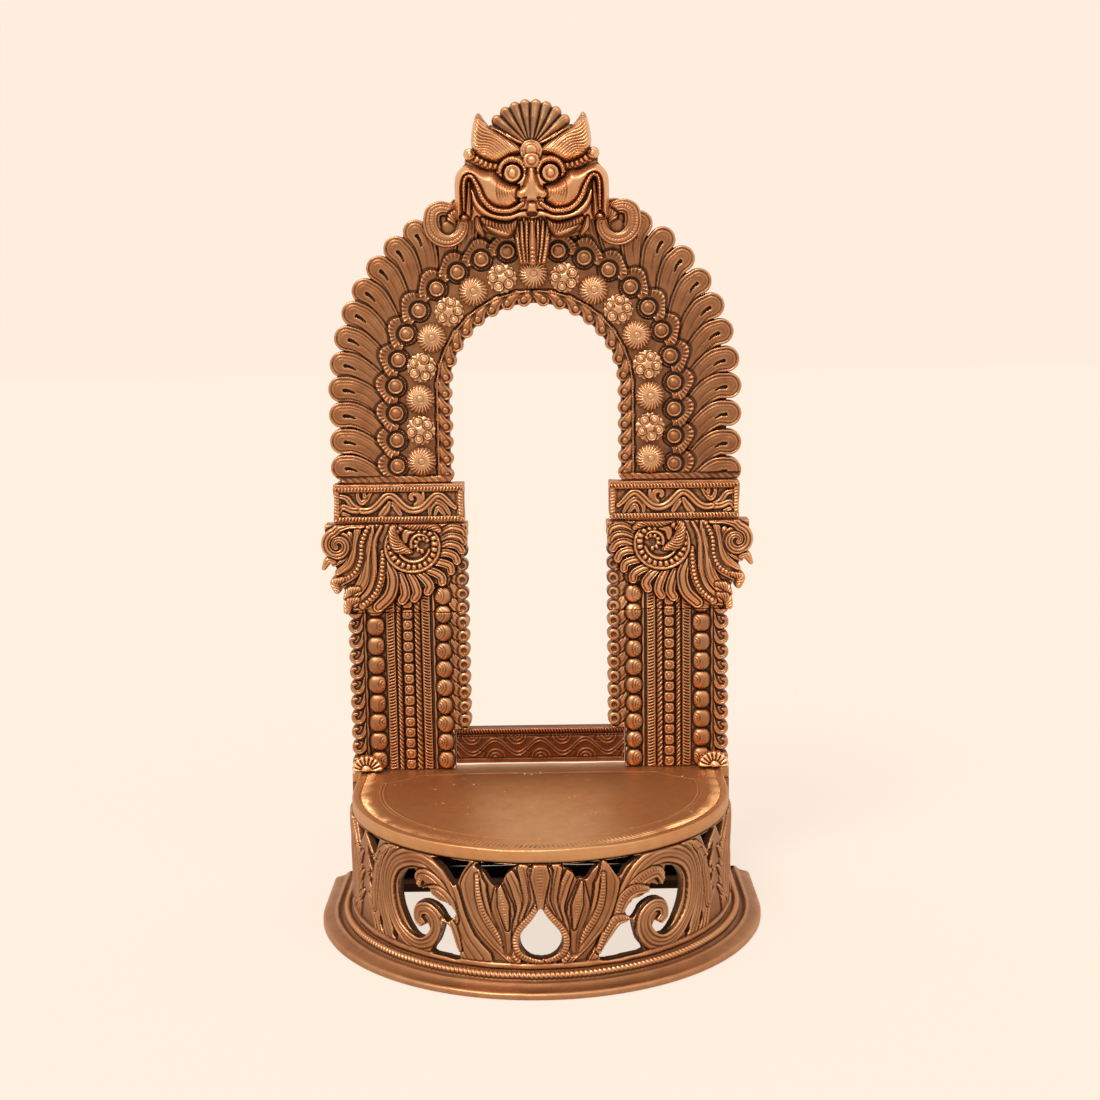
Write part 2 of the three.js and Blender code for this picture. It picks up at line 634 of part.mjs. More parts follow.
function bottomRail() {
  const half = PILLAR_INNER + RAIL_HOUSING - SEAT_GAP;
  const front = FRAME_BACK_Y - RAIL_THICKNESS;
  return geometryOf(framedBlock([-half, front, PILLAR_FOOT + RAIL_LIFT], [half, FRAME_BACK_Y, RAIL_TOP]));
}

// Arch

// A place on the arch: distance along the reference line from the crown, and radius
function archPoint(along, radius, reference, lift = 0) {
  const quarter = (Math.PI / 2) * reference;
  const angle = Math.min(Math.abs(along), quarter) / reference;
  const below = Math.max(0, Math.abs(along) - quarter);
  const side = along < 0 ? -1 : 1;
  return [side * radius * Math.sin(angle), SPRINGING + lift + radius * Math.cos(angle) - below];
}

function halfLength(reference, lift = 0) {
  return (Math.PI / 2) * reference + ARCH_LEG + lift;
}

// The scalloped inner edge, from one foot of the arch over the crown to the other
function scallopedEdge() {
  const half = halfLength(ARCH_INNER, CROWN_LIFT);
  const count = Math.round(half / SCALLOP_PITCH);
  const step = half / count;
  const points = [];
  for (let i = 0; i < count; i += 1) {
    const foot = half - i * step;
    points.push([foot, ARCH_INNER], [foot - step * 0.25, ARCH_INNER - SCALLOP_DEPTH]);
    points.push([foot - step * 0.75, ARCH_INNER - SCALLOP_DEPTH]);
  }
  points.push([0, ARCH_INNER]);
  const right = points.map(([along, r]) => archPoint(along, r, ARCH_INNER, CROWN_LIFT));
  const left = right.filter(([x]) => x > 1e-6).map(([x, z]) => [-x, z]).reverse();
  return [...right, ...left];
}

// The middle line of a petal: [distance towards the foot, distance inside the arch's edge, half width]
const PETAL_SPINE = [[8.5, 24.5, 4.6], [5, 21, 5.2], [1.8, 15.5, 5.8], [0, 10, 6.4], [0, 4.6, 6.7]];

function petal(along) {
  const angle = Math.min(along / ARCH_OUTER, Math.PI / 2);
  const grow = 1 + PETAL_SHOULDER * Math.sin(2 * angle) ** 2;
  const fit = PETAL_BAND / PETAL_SPINE[0][1];
  const spine = PETAL_SPINE.map(([ahead, inside, width]) => {
    const [x, z] = archPoint(along + ahead, (ARCH_OUTER - inside * fit) * grow, ARCH_OUTER);
    return { x, z, width };
  });
  const [right, left] = [[], []];
  spine.forEach(({ x, z, width }, i) => {
    const [from, to] = [spine[Math.max(i - 1, 0)], spine[Math.min(i + 1, spine.length - 1)]];
    const length = Math.hypot(to.x - from.x, to.z - from.z);
    const [dx, dz] = [(to.x - from.x) / length, (to.z - from.z) / length];
    right.push([x + dz * width, z - dx * width]);
    left.push([x - dz * width, z + dx * width]);
  });
  const tip = spine[spine.length - 1];
  const start = Math.atan2(right[right.length - 1][1] - tip.z, right[right.length - 1][0] - tip.x);
  const round = [0.25, 0.5, 0.75].map((share) => {
    const turn = start + share * Math.PI;
    return [tip.x + tip.width * Math.cos(turn), tip.z + tip.width * Math.sin(turn)];
  });
  return [...right, ...round, ...left.reverse()];
}

// The plain band under the petals: it reaches the full radius only over the crown, behind the mask
function archBand() {
  const crown = (PETAL_CROWN_ANGLE / 180) * Math.PI * ARCH_OUTER;
  const inner = ARCH_OUTER - PETAL_SPINE[4][1];
  const points = [[halfLength(ARCH_OUTER), inner]];
  for (let along = (Math.PI / 2) * ARCH_OUTER; along > crown; along -= PETAL_ROWS[0].pitch) {
    points.push([along, inner]);
  }
  points.push([crown, inner], [crown, ARCH_OUTER], [crown / 2, ARCH_OUTER], [0, ARCH_OUTER]);
  const right = points.map(([along, r]) => archPoint(along, r, ARCH_OUTER));
  const left = right.filter(([x]) => x > 1e-6).map(([x, z]) => [-x, z]).reverse();
  return [...right, ...left];
}

function toranaArch() {
  const pieces = [slab([...archBand(), ...scallopedEdge().reverse()], FRAME_FRONT_Y, FRAME_BACK_Y)];
  const crown = (PETAL_CROWN_ANGLE / 180) * Math.PI * ARCH_OUTER;
  for (const { side, first, pitch } of PETAL_ROWS) {
    for (let along = halfLength(ARCH_OUTER) - first; along > crown; along -= pitch) {
      const outline = petal(along).map(([x, z]) => [side * x, z]);
      if (side < 0) outline.reverse();
      pieces.push(slab(outline, FRAME_FRONT_Y - PETAL_RISE, FRAME_BACK_Y));
    }
  }
  for (let along = halfLength(FLORET_RADIUS, CROWN_LIFT) - FLORET_FIRST; along > 0; along -= FLORET_PITCH) {
    const [x, z] = archPoint(along, FLORET_RADIUS, FLORET_RADIUS, CROWN_LIFT);
    const radii = [FLORET_SIZE, FLORET_RISE + BITE, FLORET_SIZE];
    pieces.push(dome([x, FRAME_FRONT_Y + BITE, z], radii, 8, 4));
    pieces.push(dome([-x, FRAME_FRONT_Y + BITE, z], radii, 8, 4));
  }
  const rod = rodBlock(CLEAR);
  const far = 2 * ARCH_OUTER;
  const below = block([-far, FRAME_FRONT_Y - far, ARCH_FOOT - far], [far, FRAME_BACK_Y + far, ARCH_FOOT]);
  const cuts = joined([below, rod, mirrored(rod)]);
  return geometryOf(joined(pieces).subtract(cuts).subtract(solidOf(rivet(CLEAR))));
}

// Rosettes round the inner edge of the arch
function rosette(along) {
  const [x, z] = archPoint(along, ROSETTE_ORBIT, ROSETTE_ORBIT, CROWN_LIFT);
  const profile = [[0, 0], [1, 0], [1, 0.35], [0.8, 0.8], [0.45, 0.75], [0.35, 1], [0, 1]];
  const points = profile.map(([r, h]) => new THREE.Vector2(r * ROSETTE_SIZE, h * ROSETTE_RISE));
  const geometry = new THREE.LatheGeometry(points, 14);
  geometry.rotateX(Math.PI);
  geometry.translate(x, FRAME_FRONT_Y - SEAT_GAP, z);
  return geometryOf(solidOf(geometry));
}

// Mask

function rivet(clear) {
  const shank = RIVET_RADIUS + clear;
  const head = clear > 0 ? shank : RIVET_HEAD;
  const length = FRAME_BACK_Y + SEAT_GAP - MASK_BACK_Y + RIVET_DEPTH + clear;
  const points = [[0, 0], [shank, 0], [shank, length], [head, length], [head, length + RIVET_HEAD_HEIGHT]];
  points.push([0, length + RIVET_HEAD_HEIGHT]);
  const distinct = points.filter((p, i) => i === 0 || p[0] !== points[i - 1][0] || p[1] !== points[i - 1][1]);
  const geometry = new THREE.LatheGeometry(distinct.map(([r, h]) => new THREE.Vector2(r, h)), 12);
  geometry.translate(0, MASK_BACK_Y - RIVET_DEPTH - clear, 0);
  geometry.translate(0, 0, MASK_Z - RIVET_DROP);
  return geometry;
}

// A drawn place [across, up] on the mask, in real size
function onMask([x, z]) {
  return [x * MASK_SCALE, MASK_Z + z * MASK_SCALE];
}

function maskDome(across, depth, up, radii, around = 8, rows = 6) {
  const [x, z] = onMask([across, up]);
  const [wide, deep, high] = radii;
  const centre = [x, MASK_BACK_Y - MASK_DEPTH * depth, z];
  return dome(centre, [wide * MASK_SCALE, MASK_DEPTH * deep, high * MASK_SCALE], around, rows);
}

function maskSlab(points, depth) {
  return slab(points.map(onMask), MASK_BACK_Y - MASK_DEPTH * depth, MASK_BACK_Y);
}

function maskBar(points, depth, radius, steps) {
  const placed = points.map(onMask).map(([x, z]) => [x, MASK_BACK_Y - MASK_DEPTH * depth, z]);
  return bar(placed, radius * MASK_SCALE, steps);
}

function crest() {
  const spread = (CREST_SPREAD / 180) * Math.PI;
  const step = spread / CREST_RIDGES;
  const points = [[6, CREST_RISE - 4]];
  for (let i = 0; i < CREST_RIDGES; i += 1) {
    for (const [share, reach] of [[0.1, 0.94], [0.5, 1], [0.9, 0.94]]) {
      const angle = Math.PI / 2 - spread / 2 + (i + share) * step;
      const radius = CREST_RADIUS * reach;
      points.push([radius * Math.cos(angle), CREST_RISE + radius * Math.sin(angle)]);
    }
  }
  points.push([-6, CREST_RISE - 4]);
  return maskSlab(points, 0.35);
}

// Features of one side of the face as [across, up] from the middle of the mask
const MASK_BROW = [[2, 4], [14, 6], [26.4, 12], [30.4, 20], [28.4, 33], [23.4, 24], [14, 17], [3, 12]];
const MASK_LIP = [[4, -20], [14, -23.5], [25, -21], [32, -13], [34, -4], [30, 3]];
const MASK_EAR_BAND = [[30, 3], [35, 5], [36.3, -1], [36.1, -9], [34.9, -16.5]];
const MASK_CORE = [
  [-23.9, 8], [-23.9, -18], [-10, -27], [-7, -38], [-5, -BEARD_LENGTH], [5, -BEARD_LENGTH],
  [7, -38], [10, -27], [23.9, -18], [23.9, 8], [8, 14], [-8, 14],
];

function maskSide(side) {
  const turn = ([x, z]) => [side * x, z];
  return [
    maskDome(side * 19.2, 0.12, -7, [14.6, 0.72, 13]), // cheek
    maskDome(side * 9, 0.55, 2.5, [4.4, 0.29, 4.4]), // eye
    maskDome(side * 28.9, 0.18, 8, [4, 0.35, 4], 6, 4), // ear boss
    maskBar(MASK_LIP.map(turn), 0.29, 2.6, 12),
    maskBar(MASK_EAR_BAND.map(turn), 0.18, 2.2, 10),
    maskSlab(MASK_BROW.map(turn), 0.62),
  ];
}

function mask() {
  const pieces = [
    maskSlab(MASK_CORE, 0.4),
    maskDome(0, 0.35, 0, [13, 0.45, 14]), // face
    maskDome(0, 0.62, -4, [3, 0.36, 8]), // bridge of the nose
    maskDome(0, 0.66, -9, [6, 0.28, 3]), // nostrils
    maskDome(0, 0.45, 8, [4, 0.18, 4], 6, 4), // jewel
    maskDome(0, 0.3, -28, [6, 0.29, 12]), // beard
    crest(),
    ...maskSide(1),
    ...maskSide(-1),
  ];
  const far = 3 * MASK_HALF_WIDTH;
  const behind = block([-far, MASK_BACK_Y, MASK_Z - far], [far, MASK_BACK_Y + far, MASK_Z + far]);
  const rosetteFront = FRAME_FRONT_Y - SEAT_GAP - ROSETTE_RISE;
  const overRosette = SPRINGING + CROWN_ROSETTE_TOP + SEAT_GAP;
  const notch = block([-far, rosetteFront - SEAT_GAP, MASK_Z - far], [far, MASK_BACK_Y + far, overRosette]);
  const cuts = joined([behind, notch]);
  return geometryOf(joined(pieces).subtract(cuts).subtract(solidOf(rivet(CLEAR))));
}

// Scrolls beside the mask
function curl() {
  const [open, close] = CURL_OPENING.map((degrees) => (degrees / 180) * Math.PI);
  const steps = 16;
  const outline = [];
  const inner = [];
  for (let i = 0; i <= steps; i += 1) {
    const angle = open + ((close - open) * i) / steps;
    const place = (r) => [CURL_X - r * Math.cos(angle), SPRINGING + CURL_RISE + r * Math.sin(angle)];
    outline.push(place(CURL_RADIUS));
    inner.push(place(CURL_HOLE));
  }
  return slab([...outline, ...inner.reverse()], MASK_BACK_Y - CURL_THICKNESS, MASK_BACK_Y);
}

// Fan shell at the foot of a pillar
function shell() {
  const [x, z] = [PILLAR_OUTER - SHELL_RADIUS, PILLAR_FOOT + 1];
  const points = [];
  for (let i = 0; i < SHELL_RIDGES; i += 1) {
    for (const [share, reach] of [[0.15, 0.93], [0.5, 1], [0.85, 0.93]]) {
      const angle = ((i + share) / SHELL_RIDGES) * Math.PI;
      points.push([x + SHELL_RADIUS * reach * Math.cos(angle), z + SHELL_RADIUS * reach * Math.sin(angle)]);
    }
  }
  const tallest = Math.max(...PILLAR_COLUMNS.map((column) => column.rise));
  const back = FRAME_FRONT_Y - tallest - SEAT_GAP;
  return slab(points, back - SHELL_THICKNESS, back);
}

// Colours of the aged brass
const BRASS = 0xb87a4b;
const BRASS_DARK = 0x96603a;
const BRASS_BRIGHT = 0xd39a68;
const BRASS_RED = 0xa0623c;

addPiece("foot_plinth", footPlinth(), BRASS);
addPiece("pierced_drum", piercedDrum(), BRASS);
addPiece("seat_plate", seatPlate(), BRASS);
addPiece("back_panel", backPanel(), BRASS_DARK);
addPair("back_post", geometryOf(solidOf(backPost())), BRASS_DARK);
addPair("tenon_socket", tenonSocket(), BRASS_DARK);
addPair("tenon", geometryOf(solidOf(tenon())), BRASS_DARK);
addPair("pillar", pillar(), BRASS);
addPair("capital", capital(), BRASS);
addPair("abacus", abacus(), BRASS);
addPair("spine_rod", geometryOf(solidOf(rodBlock(0))), BRASS_DARK);
addPiece("bottom_rail", bottomRail(), BRASS_RED);
addPiece("torana_arch", toranaArch(), BRASS);
addPiece("kirtimukha_mask", mask(), BRASS);
addPiece("mask_rivet", rivet(0), BRASS_DARK);
addPair("curl", geometryOf(solidOf(curl())), BRASS);
addPair("shell", geometryOf(solidOf(shell())), BRASS_BRIGHT);
for (let i = -ROSETTE_COUNT_PER_SIDE; i <= ROSETTE_COUNT_PER_SIDE; i += 1) {
  const number = String(i + ROSETTE_COUNT_PER_SIDE + 1).padStart(2, "0");
  addPiece(`inner_rosette_${number}`, rosette(i * ROSETTE_PITCH), BRASS_BRIGHT, 0.35);
}

export default throne;
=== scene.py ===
import math

import bpy
import numpy as np
import openvdb
from mathutils import Matrix, Vector


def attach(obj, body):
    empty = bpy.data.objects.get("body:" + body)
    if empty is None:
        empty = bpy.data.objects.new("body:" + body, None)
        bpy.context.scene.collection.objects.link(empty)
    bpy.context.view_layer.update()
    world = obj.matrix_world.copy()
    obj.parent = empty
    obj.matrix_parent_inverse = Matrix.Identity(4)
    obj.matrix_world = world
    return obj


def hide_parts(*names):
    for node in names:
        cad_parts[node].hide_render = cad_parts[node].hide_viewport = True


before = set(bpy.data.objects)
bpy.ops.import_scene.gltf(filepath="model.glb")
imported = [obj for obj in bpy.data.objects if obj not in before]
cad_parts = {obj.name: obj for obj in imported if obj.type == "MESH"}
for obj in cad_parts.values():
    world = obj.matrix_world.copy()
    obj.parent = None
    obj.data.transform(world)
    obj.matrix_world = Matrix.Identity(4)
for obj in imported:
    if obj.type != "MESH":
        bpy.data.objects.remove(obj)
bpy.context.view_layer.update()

# Looks of a cast brass deity throne: carved pieces that stand for the CAD solids, with their
# materials, floor, lights and camera. Drawing sizes are millimetres; meshes are made in metres.
MM = 0.001
COARSE = 1.0
rng = np.random.default_rng(11)

# Sizes shared with the solids
DRUM_RADIUS = 95.5
PLAN_CENTRE_Y = 34.0
BACK_Y = 78.0
POST_FRONT_Y = 67.0
HALF_BACK = 100.0
SEAT_HEIGHT = 64.5
SEAT_THICKNESS = 3.5
RIM_HEIGHT = 6.2
RIM_WIDTH = 4.6
WALL_BOTTOM = 8.1
WALL_TOP = 58.0
WALL_THICKNESS = 4.0
FOOT_TOP = 7.8
FOOT_INNER = 14.0
FRAME_FRONT_Y = 69.0
FRAME_THICKNESS = 7.5
PILLAR_INNER = 36.0
PILLAR_OUTER = 100.0
PILLAR_FOOT = 64.8
PILLAR_TOP = 149.6
CAPITAL_FOOT = 149.9
CAPITAL_TOP = 196.9
CAPITAL_PROUD = 3.5
ABACUS_FOOT = 197.2
ABACUS_TOP = 217.6
ABACUS_PROUD = 3.4
RAIL_FOOT = 66.8
RAIL_TOP = 86.0
RAIL_THICKNESS = 5.4
ARCH_FOOT = 217.9
ARCH_LEG = 44.8
SPRINGING = ARCH_FOOT + ARCH_LEG
ARCH_OUTER = 104.0
ARCH_INNER = 44.2
CROWN_LIFT = 2.1
MASK_BACK_Y = 66.1
ROSETTES_PER_SIDE = 8
ROSETTE_ORBIT = 59.0
ROSETTE_PITCH = 16.06
ROSETTE_SIZE = 7.1
SEAT_GAP = 0.3
RAIL_END = 44.7
MASK_DEPTH = 17.0


# Lines

def curve(points, per_span=8):
    """A smooth line through given points."""
    knots = np.array(points, dtype=float)
    knots = np.vstack([2 * knots[0] - knots[1], knots, 2 * knots[-1] - knots[-2]])
    t = np.linspace(0, 1, per_span, endpoint=False)[:, None]
    spans = []
    for a, b, c, d in zip(knots[:-3], knots[1:-2], knots[2:-1], knots[3:]):
        cubic = 2 * b + (c - a) * t + (2 * a - 5 * b + 4 * c - d) * t**2 + (3 * b - a - 3 * c + d) * t**3
        spans.append(cubic / 2)
    return np.vstack(spans + [knots[-2:-1]])


def spiral(centre, radii, turns, steps=44):
    """A line that winds from one radius and angle (degrees) to another."""
    share = np.linspace(0, 1, steps)
    radius = radii[0] + (radii[1] - radii[0]) * share
    angle = np.radians(turns[0] + (turns[1] - turns[0]) * share)
    return np.column_stack([centre[0] + radius * np.cos(angle), centre[1] + radius * np.sin(angle)])


def sided(points, side):
    """The same points on the +X or the -X side."""
    flipped = np.array(points, dtype=float)
    flipped[:, 0] *= side
    return flipped


def nearest(u, v, line):
    """Distance from each grid point to a line, how far along it, and on which side."""
    best = np.full(u.shape, 1e9)
    along = np.zeros(u.shape)
    side = np.ones(u.shape)
    done = 0.0
    for start, end in zip(line[:-1], line[1:]):
        du, dv = end - start
        length = math.hypot(du, dv)
        if length < 1e-6:
            continue
        t = np.clip(((u - start[0]) * du + (v - start[1]) * dv) / length**2, 0, 1)
        off_u = u - start[0] - t * du
        off_v = v - start[1] - t * dv
        gap = off_u**2 + off_v**2
        near = gap < best
        best = np.where(near, gap, best)
        along = np.where(near, done + t * length, along)
        side = np.where(near, np.sign(du * off_v - dv * off_u), side)
        done += length
    return np.sqrt(best), along, side, done


def outline_distance(u, v, outline):
    """Distance to a closed outline, negative inside it."""
    closed = np.vstack([outline, outline[:1]])
    gap = nearest(u, v, closed)[0]
    inside = np.zeros(u.shape, dtype=bool)
    for (u0, v0), (u1, v1) in zip(closed[:-1], closed[1:]):
        if v0 == v1:
            continue
        crosses = (v0 > v) != (v1 > v)
        inside ^= crosses & (u < (u1 - u0) * (v - v0) / (v1 - v0) + u0)
    return np.where(inside, -gap, gap)


def blurred(field, sigma):
    """A Gaussian blur over a grid, sigma in cells."""
    reach = int(3 * sigma) + 1
    weights = np.exp(-0.5 * (np.arange(-reach, reach + 1) / sigma) ** 2)
    weights /= weights.sum()
    for axis in (0, 1):
        pad = [(0, 0), (0, 0)]
        pad[axis] = (reach, reach)
        padded = np.pad(field, pad, mode="edge")
        size = field.shape[axis]
        rows = [np.take(padded, range(i, i + size), axis=axis) * w for i, w in enumerate(weights)]
        field = np.sum(rows, axis=0)
    return field


def unevenness(shape, sigma):
    """Random hills of a given width in cells, about one unit high."""
    field = blurred(rng.standard_normal(shape), sigma)
    return field / field.std()


# Carved plates

def pair(place, depth, breadth):
    """Two grooves, one on each side of a form's middle."""
    return [(place, depth, breadth), (-place, depth, breadth)]


class Relief:
    """A plate drawn on a (u, v) grid: its front height, and the distance outside its outline."""

    def __init__(self, low, high, cell, floor=0.0):
        self.cell = cell * COARSE
        self.u = np.arange(low[0] - 3 * self.cell, high[0] + 3 * self.cell, self.cell)
        self.v = np.arange(low[1] - 3 * self.cell, high[1] + 3 * self.cell, self.cell)
        self.U, self.V = np.meshgrid(self.u, self.v, indexing="ij")
        self.height = np.full(self.U.shape, float(floor))
        self.outside = np.full(self.U.shape, 9.0)

    def window(self, points, reach):
        """The part of the grid within reach of some points."""
        start = np.array([self.u[0], self.v[0]])
        low = np.maximum(((points.min(axis=0) - reach - start) / self.cell).astype(int), 0)
        high = np.maximum(((points.max(axis=0) + reach - start) / self.cell).astype(int) + 2, 0)
        return np.s_[low[0]:high[0], low[1]:high[1]]

    def lay(self, part, inside, height, cover):
        """Puts a form on the plate: over what is there, or only where it is higher."""
        old = self.height[part]
        if not cover:
            height = np.maximum(height, old)
        self.height[part] = np.where(inside, height, old)

    def stroke(self, line, width, top, level=0.0, form=2.0, seam=0.0, grooves=(), ticks=None,
               cover=True, solid=True):
        """A raised form along a line. Widths and tops are half-widths and heights from its start to
        its end. A groove is (place across, depth, breadth), ticks are (pitch, depth, from, to, slant)."""
        line = np.asarray(line, dtype=float)
        part = self.window(line, max(width) + 1.5)
        u, v = self.U[part], self.V[part]
        if u.size == 0:
            return
        gap, along, side, total = nearest(u, v, line)
        share = along / total
        half = np.interp(share, np.linspace(0, 1, len(width)), width)
        rise = np.interp(share, np.linspace(0, 1, len(top)), top)
        across = gap / half
        height = level + rise * np.clip(1 - across**form, 0, 1) ** (1 / form)
        for place, depth, breadth in grooves:
            height -= depth * np.exp(-(((side * across - place) * half / breadth) ** 2))
        if ticks:
            pitch, depth, start, end, slant = ticks
            signed = side * across
            wave = 0.5 + 0.5 * np.cos(2 * np.pi * (along + slant * signed * half) / pitch)
            band = np.clip((signed - start) * half / 0.3, 0, 1) * np.clip((end - signed) * half / 0.3, 0, 1)
            height -= depth * wave**2 * band
        if seam > 0:
            self.height[part] -= seam * np.exp(-(((gap - half) / 0.5) ** 2))
        self.lay(part, across < 1, height, cover)
        if solid:
            self.outside[part] = np.minimum(self.outside[part], gap - half)

    def pillow(self, outline, top, level=0.0, soft=3.0, seam=0.0, cover=True, solid=True):
        """A raised form with a closed outline whose edge rounds off over a given width."""
        outline = np.asarray(outline, dtype=float)
        part = self.window(outline, 1.5)
        distance = outline_distance(self.U[part], self.V[part], outline)
        edge = np.clip(1 + distance / soft, 0, 1)
        height = level + top * np.sqrt(1 - edge**2)
        if seam > 0:
            self.height[part] -= seam * np.exp(-((distance / 0.5) ** 2)) * (distance > 0)
        self.lay(part, distance < 0, height, cover)
        if solid:
            self.outside[part] = np.minimum(self.outside[part], distance)

    def groove(self, line, depth, breadth, taper=(1, 1)):
        """An engraved line; a negative depth makes a raised one."""
        line = np.asarray(line, dtype=float)
        part = self.window(line, breadth * 3)
        u, v = self.U[part], self.V[part]
        if u.size == 0:
            return
        gap, along, _, total = nearest(u, v, line)
        strength = np.interp(along / total, np.linspace(0, 1, len(taper)), taper)
        self.height[part] -= depth * strength * np.exp(-((gap / breadth) ** 2))

    def dome(self, centre, radii, top, level=0.0, form=2.0, plan=2.0, turn=0.0, seam=0.0,
             cover=True, solid=True):
        """A raised boss; plan above 2 squares its outline and form above 2 flattens its top."""
        centre = np.array([centre], dtype=float)
        part = self.window(centre, max(radii) * 1.3 + 1.2)
        u, v = self.U[part] - centre[0][0], self.V[part] - centre[0][1]
        if u.size == 0:
            return
        c, s = math.cos(turn), math.sin(turn)
        a, b = np.abs(u * c + v * s) / radii[0], np.abs(v * c - u * s) / radii[1]
        across = (a**plan + b**plan) ** (1 / plan)
        height = level + top * np.clip(1 - across**form, 0, 1) ** (1 / form)
        if seam > 0:
            self.height[part] -= seam * np.exp(-(((across - 1) * min(radii) / 0.5) ** 2))
        self.lay(part, across < 1, height, cover)
        if solid:
            self.outside[part] = np.minimum(self.outside[part], (across - 1) * min(radii))

    def ring(self, centre, radius, breadth, top):
        """A raised (or, below zero, sunk) circle."""
        centre = np.array([centre], dtype=float)
        part = self.window(centre, radius + breadth * 3)
        gap = np.hypot(self.U[part] - centre[0][0], self.V[part] - centre[0][1]) - radius
        self.height[part] += top * np.exp(-((gap / breadth) ** 2))

    def beads(self, line, pitch, radii, top, level=0.0, plan=2.0, form=2.0, seam=0.3):
        """Bosses set out along a line."""
        line = np.asarray(line, dtype=float)
        steps = np.hypot(*np.diff(line, axis=0).T)
        lengths = np.concatenate([[0], np.cumsum(steps)])
        count = max(1, round(lengths[-1] / pitch))
        for i in range(count):
            place = (i + 0.5) * lengths[-1] / count
            centre = [np.interp(place, lengths, line[:, axis]) for axis in (0, 1)]
            ahead = [np.interp(place + 0.1, lengths, line[:, axis]) for axis in (0, 1)]
            turn = math.atan2(ahead[1] - centre[1], ahead[0] - centre[0])
            grown = 1 + rng.uniform(-0.06, 0.06)
            size = (radii[0] * grown, radii[1] * grown)
            self.dome(centre, size, top, level, form, plan, turn, seam)

    def plate(self, distance, level=None):
        """Adds a flat region where the distance is negative."""
        self.outside = np.minimum(self.outside, distance)
        if level is not None:
            self.height = np.where(distance < 0, level, self.height)

    def trim(self, distance):
        """Cuts off everything where the distance is positive."""
        self.outside = np.maximum(self.outside, distance)

    def pierce(self, outline):
        """Cuts a hole."""
        part = self.window(outline, 4.0)
        distance = outline_distance(self.U[part], self.V[part], outline)
        self.outside[part] = np.maximum(self.outside[part], -distance)

    def stipple(self, where, depth, breadth=0.45):
        """Punched ground."""
        dots = np.clip(unevenness(self.U.shape, breadth / self.cell), -2, 2)
        self.height += np.where(where, depth * dots, 0)

    def cavity(self):
        """How far each point stands above its surroundings: the patina keeps to the low places."""
        plane = np.where(self.outside > 0, self.height - 1, self.height)
        fine = plane - blurred(plane, 0.8 / self.cell)
        broad = plane - blurred(plane, 2.6 / self.cell)
        return np.clip(1.6 * fine + 0.22 * broad, -1.5, 1.5)

    def build(self, back, place, rounding=0.5, inside=0.0, fade=1):
        """Makes the plate a closed mesh: points, faces and the cavity of each point."""
        cell = self.cell
        edge = np.clip(1 + self.outside / rounding, 0, 1)
        height = self.height - rounding * (1 - np.sqrt(1 - edge**2))
        back = np.broadcast_to(np.asarray(back, dtype=float), height.shape)
        low = back[self.outside < cell].min() - 3 * cell
        levels = np.arange(low, height[self.outside < cell].max() + 3 * cell, cell)
        field = np.maximum(levels - height[..., None], back[..., None] - levels)
        field = np.maximum(field, self.outside[..., None])
        grid = openvdb.FloatGrid(3 * cell)
        grid.copyFromArray(np.clip(field, -3 * cell, 3 * cell).astype(np.float32))
        points, triangles, quads = grid.convertToPolygons(0.0, 0.0)
        i, j, k = points.T
        worn = sampled(self.cavity(), i, j)
        depth = sampled(height, i, j) - (low + k * cell)
        thick = np.maximum(sampled(height - back, i, j), 1.5)
        # Points more than 1 mm behind the front, on the sides, the back and the walls of holes, take the
        # value inside, growing with depth: painted shade where it is below zero.
        worn = np.where(depth > 1.0, inside * np.clip((depth - 1.0) / (thick - 1.2), 0, 1) ** fade, worn)
        placed = place(self.u[0] + i * cell, self.v[0] + j * cell, low + k * cell)
        return np.column_stack(placed), triangles, quads, worn


def sampled(field, i, j):
    """Grid values between the grid's points."""
    i0 = np.clip(i.astype(int), 0, field.shape[0] - 2)
    j0 = np.clip(j.astype(int), 0, field.shape[1] - 2)
    a, b = i - i0, j - j0
    low = field[i0, j0] * (1 - b) + field[i0, j0 + 1] * b
    high = field[i0 + 1, j0] * (1 - b) + field[i0 + 1, j0 + 1] * b
    return low * (1 - a) + high * a


def upright(front_y):
    """Places (x, z, out) of a plate whose front faces -Y."""
    return lambda u, v, w: (u, front_y - w, v)


def flat(u, v, w):
    """Places (x, y, z) of a plate that lies flat."""
    return u, v, w


# Pieces

def add_piece(name, built, body, nodes, slot, material):
    """Makes the mesh of a piece, with the cavity of each point for its material."""
    points, triangles, quads, worn = built
    corners = points[triangles[:, [0, 1, 2]]] if len(triangles) else np.zeros((0, 3, 3))
    halves = np.vstack([quads[:, [0, 1, 2]], quads[:, [0, 2, 3]]]) if len(quads) else np.zeros((0, 3), int)
    corners = np.vstack([corners, points[halves]])
    volume = np.einsum("ij,ij->", corners[:, 0], np.cross(corners[:, 1], corners[:, 2]))
    if volume < 0:
        triangles, quads = triangles[:, ::-1], quads[:, ::-1]
    mesh = bpy.data.meshes.new(name)
    mesh.vertices.add(len(points))
    mesh.vertices.foreach_set("co", (points * MM).astype(np.float32).ravel())
    loops = np.concatenate([quads.ravel(), triangles.ravel()]).astype(np.int32)
    starts = np.concatenate([np.arange(len(quads)) * 4, len(quads) * 4 + np.arange(len(triangles)) * 3])
    mesh.loops.add(len(loops))
    mesh.loops.foreach_set("vertex_index", loops)
    mesh.polygons.add(len(starts))
    mesh.polygons.foreach_set("loop_start", starts.astype(np.int32))
    mesh.update(calc_edges=True)
    mesh.validate()
    mesh.shade_smooth()
    values = mesh.attributes.new("cavity", "FLOAT", "POINT")
    values.data.foreach_set("value", worn.astype(np.float32))
    piece = bpy.data.objects.new(name, mesh)
    bpy.context.scene.collection.objects.link(piece)
    piece.data.materials.append(material)
    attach(piece, body)
    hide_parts(*nodes)


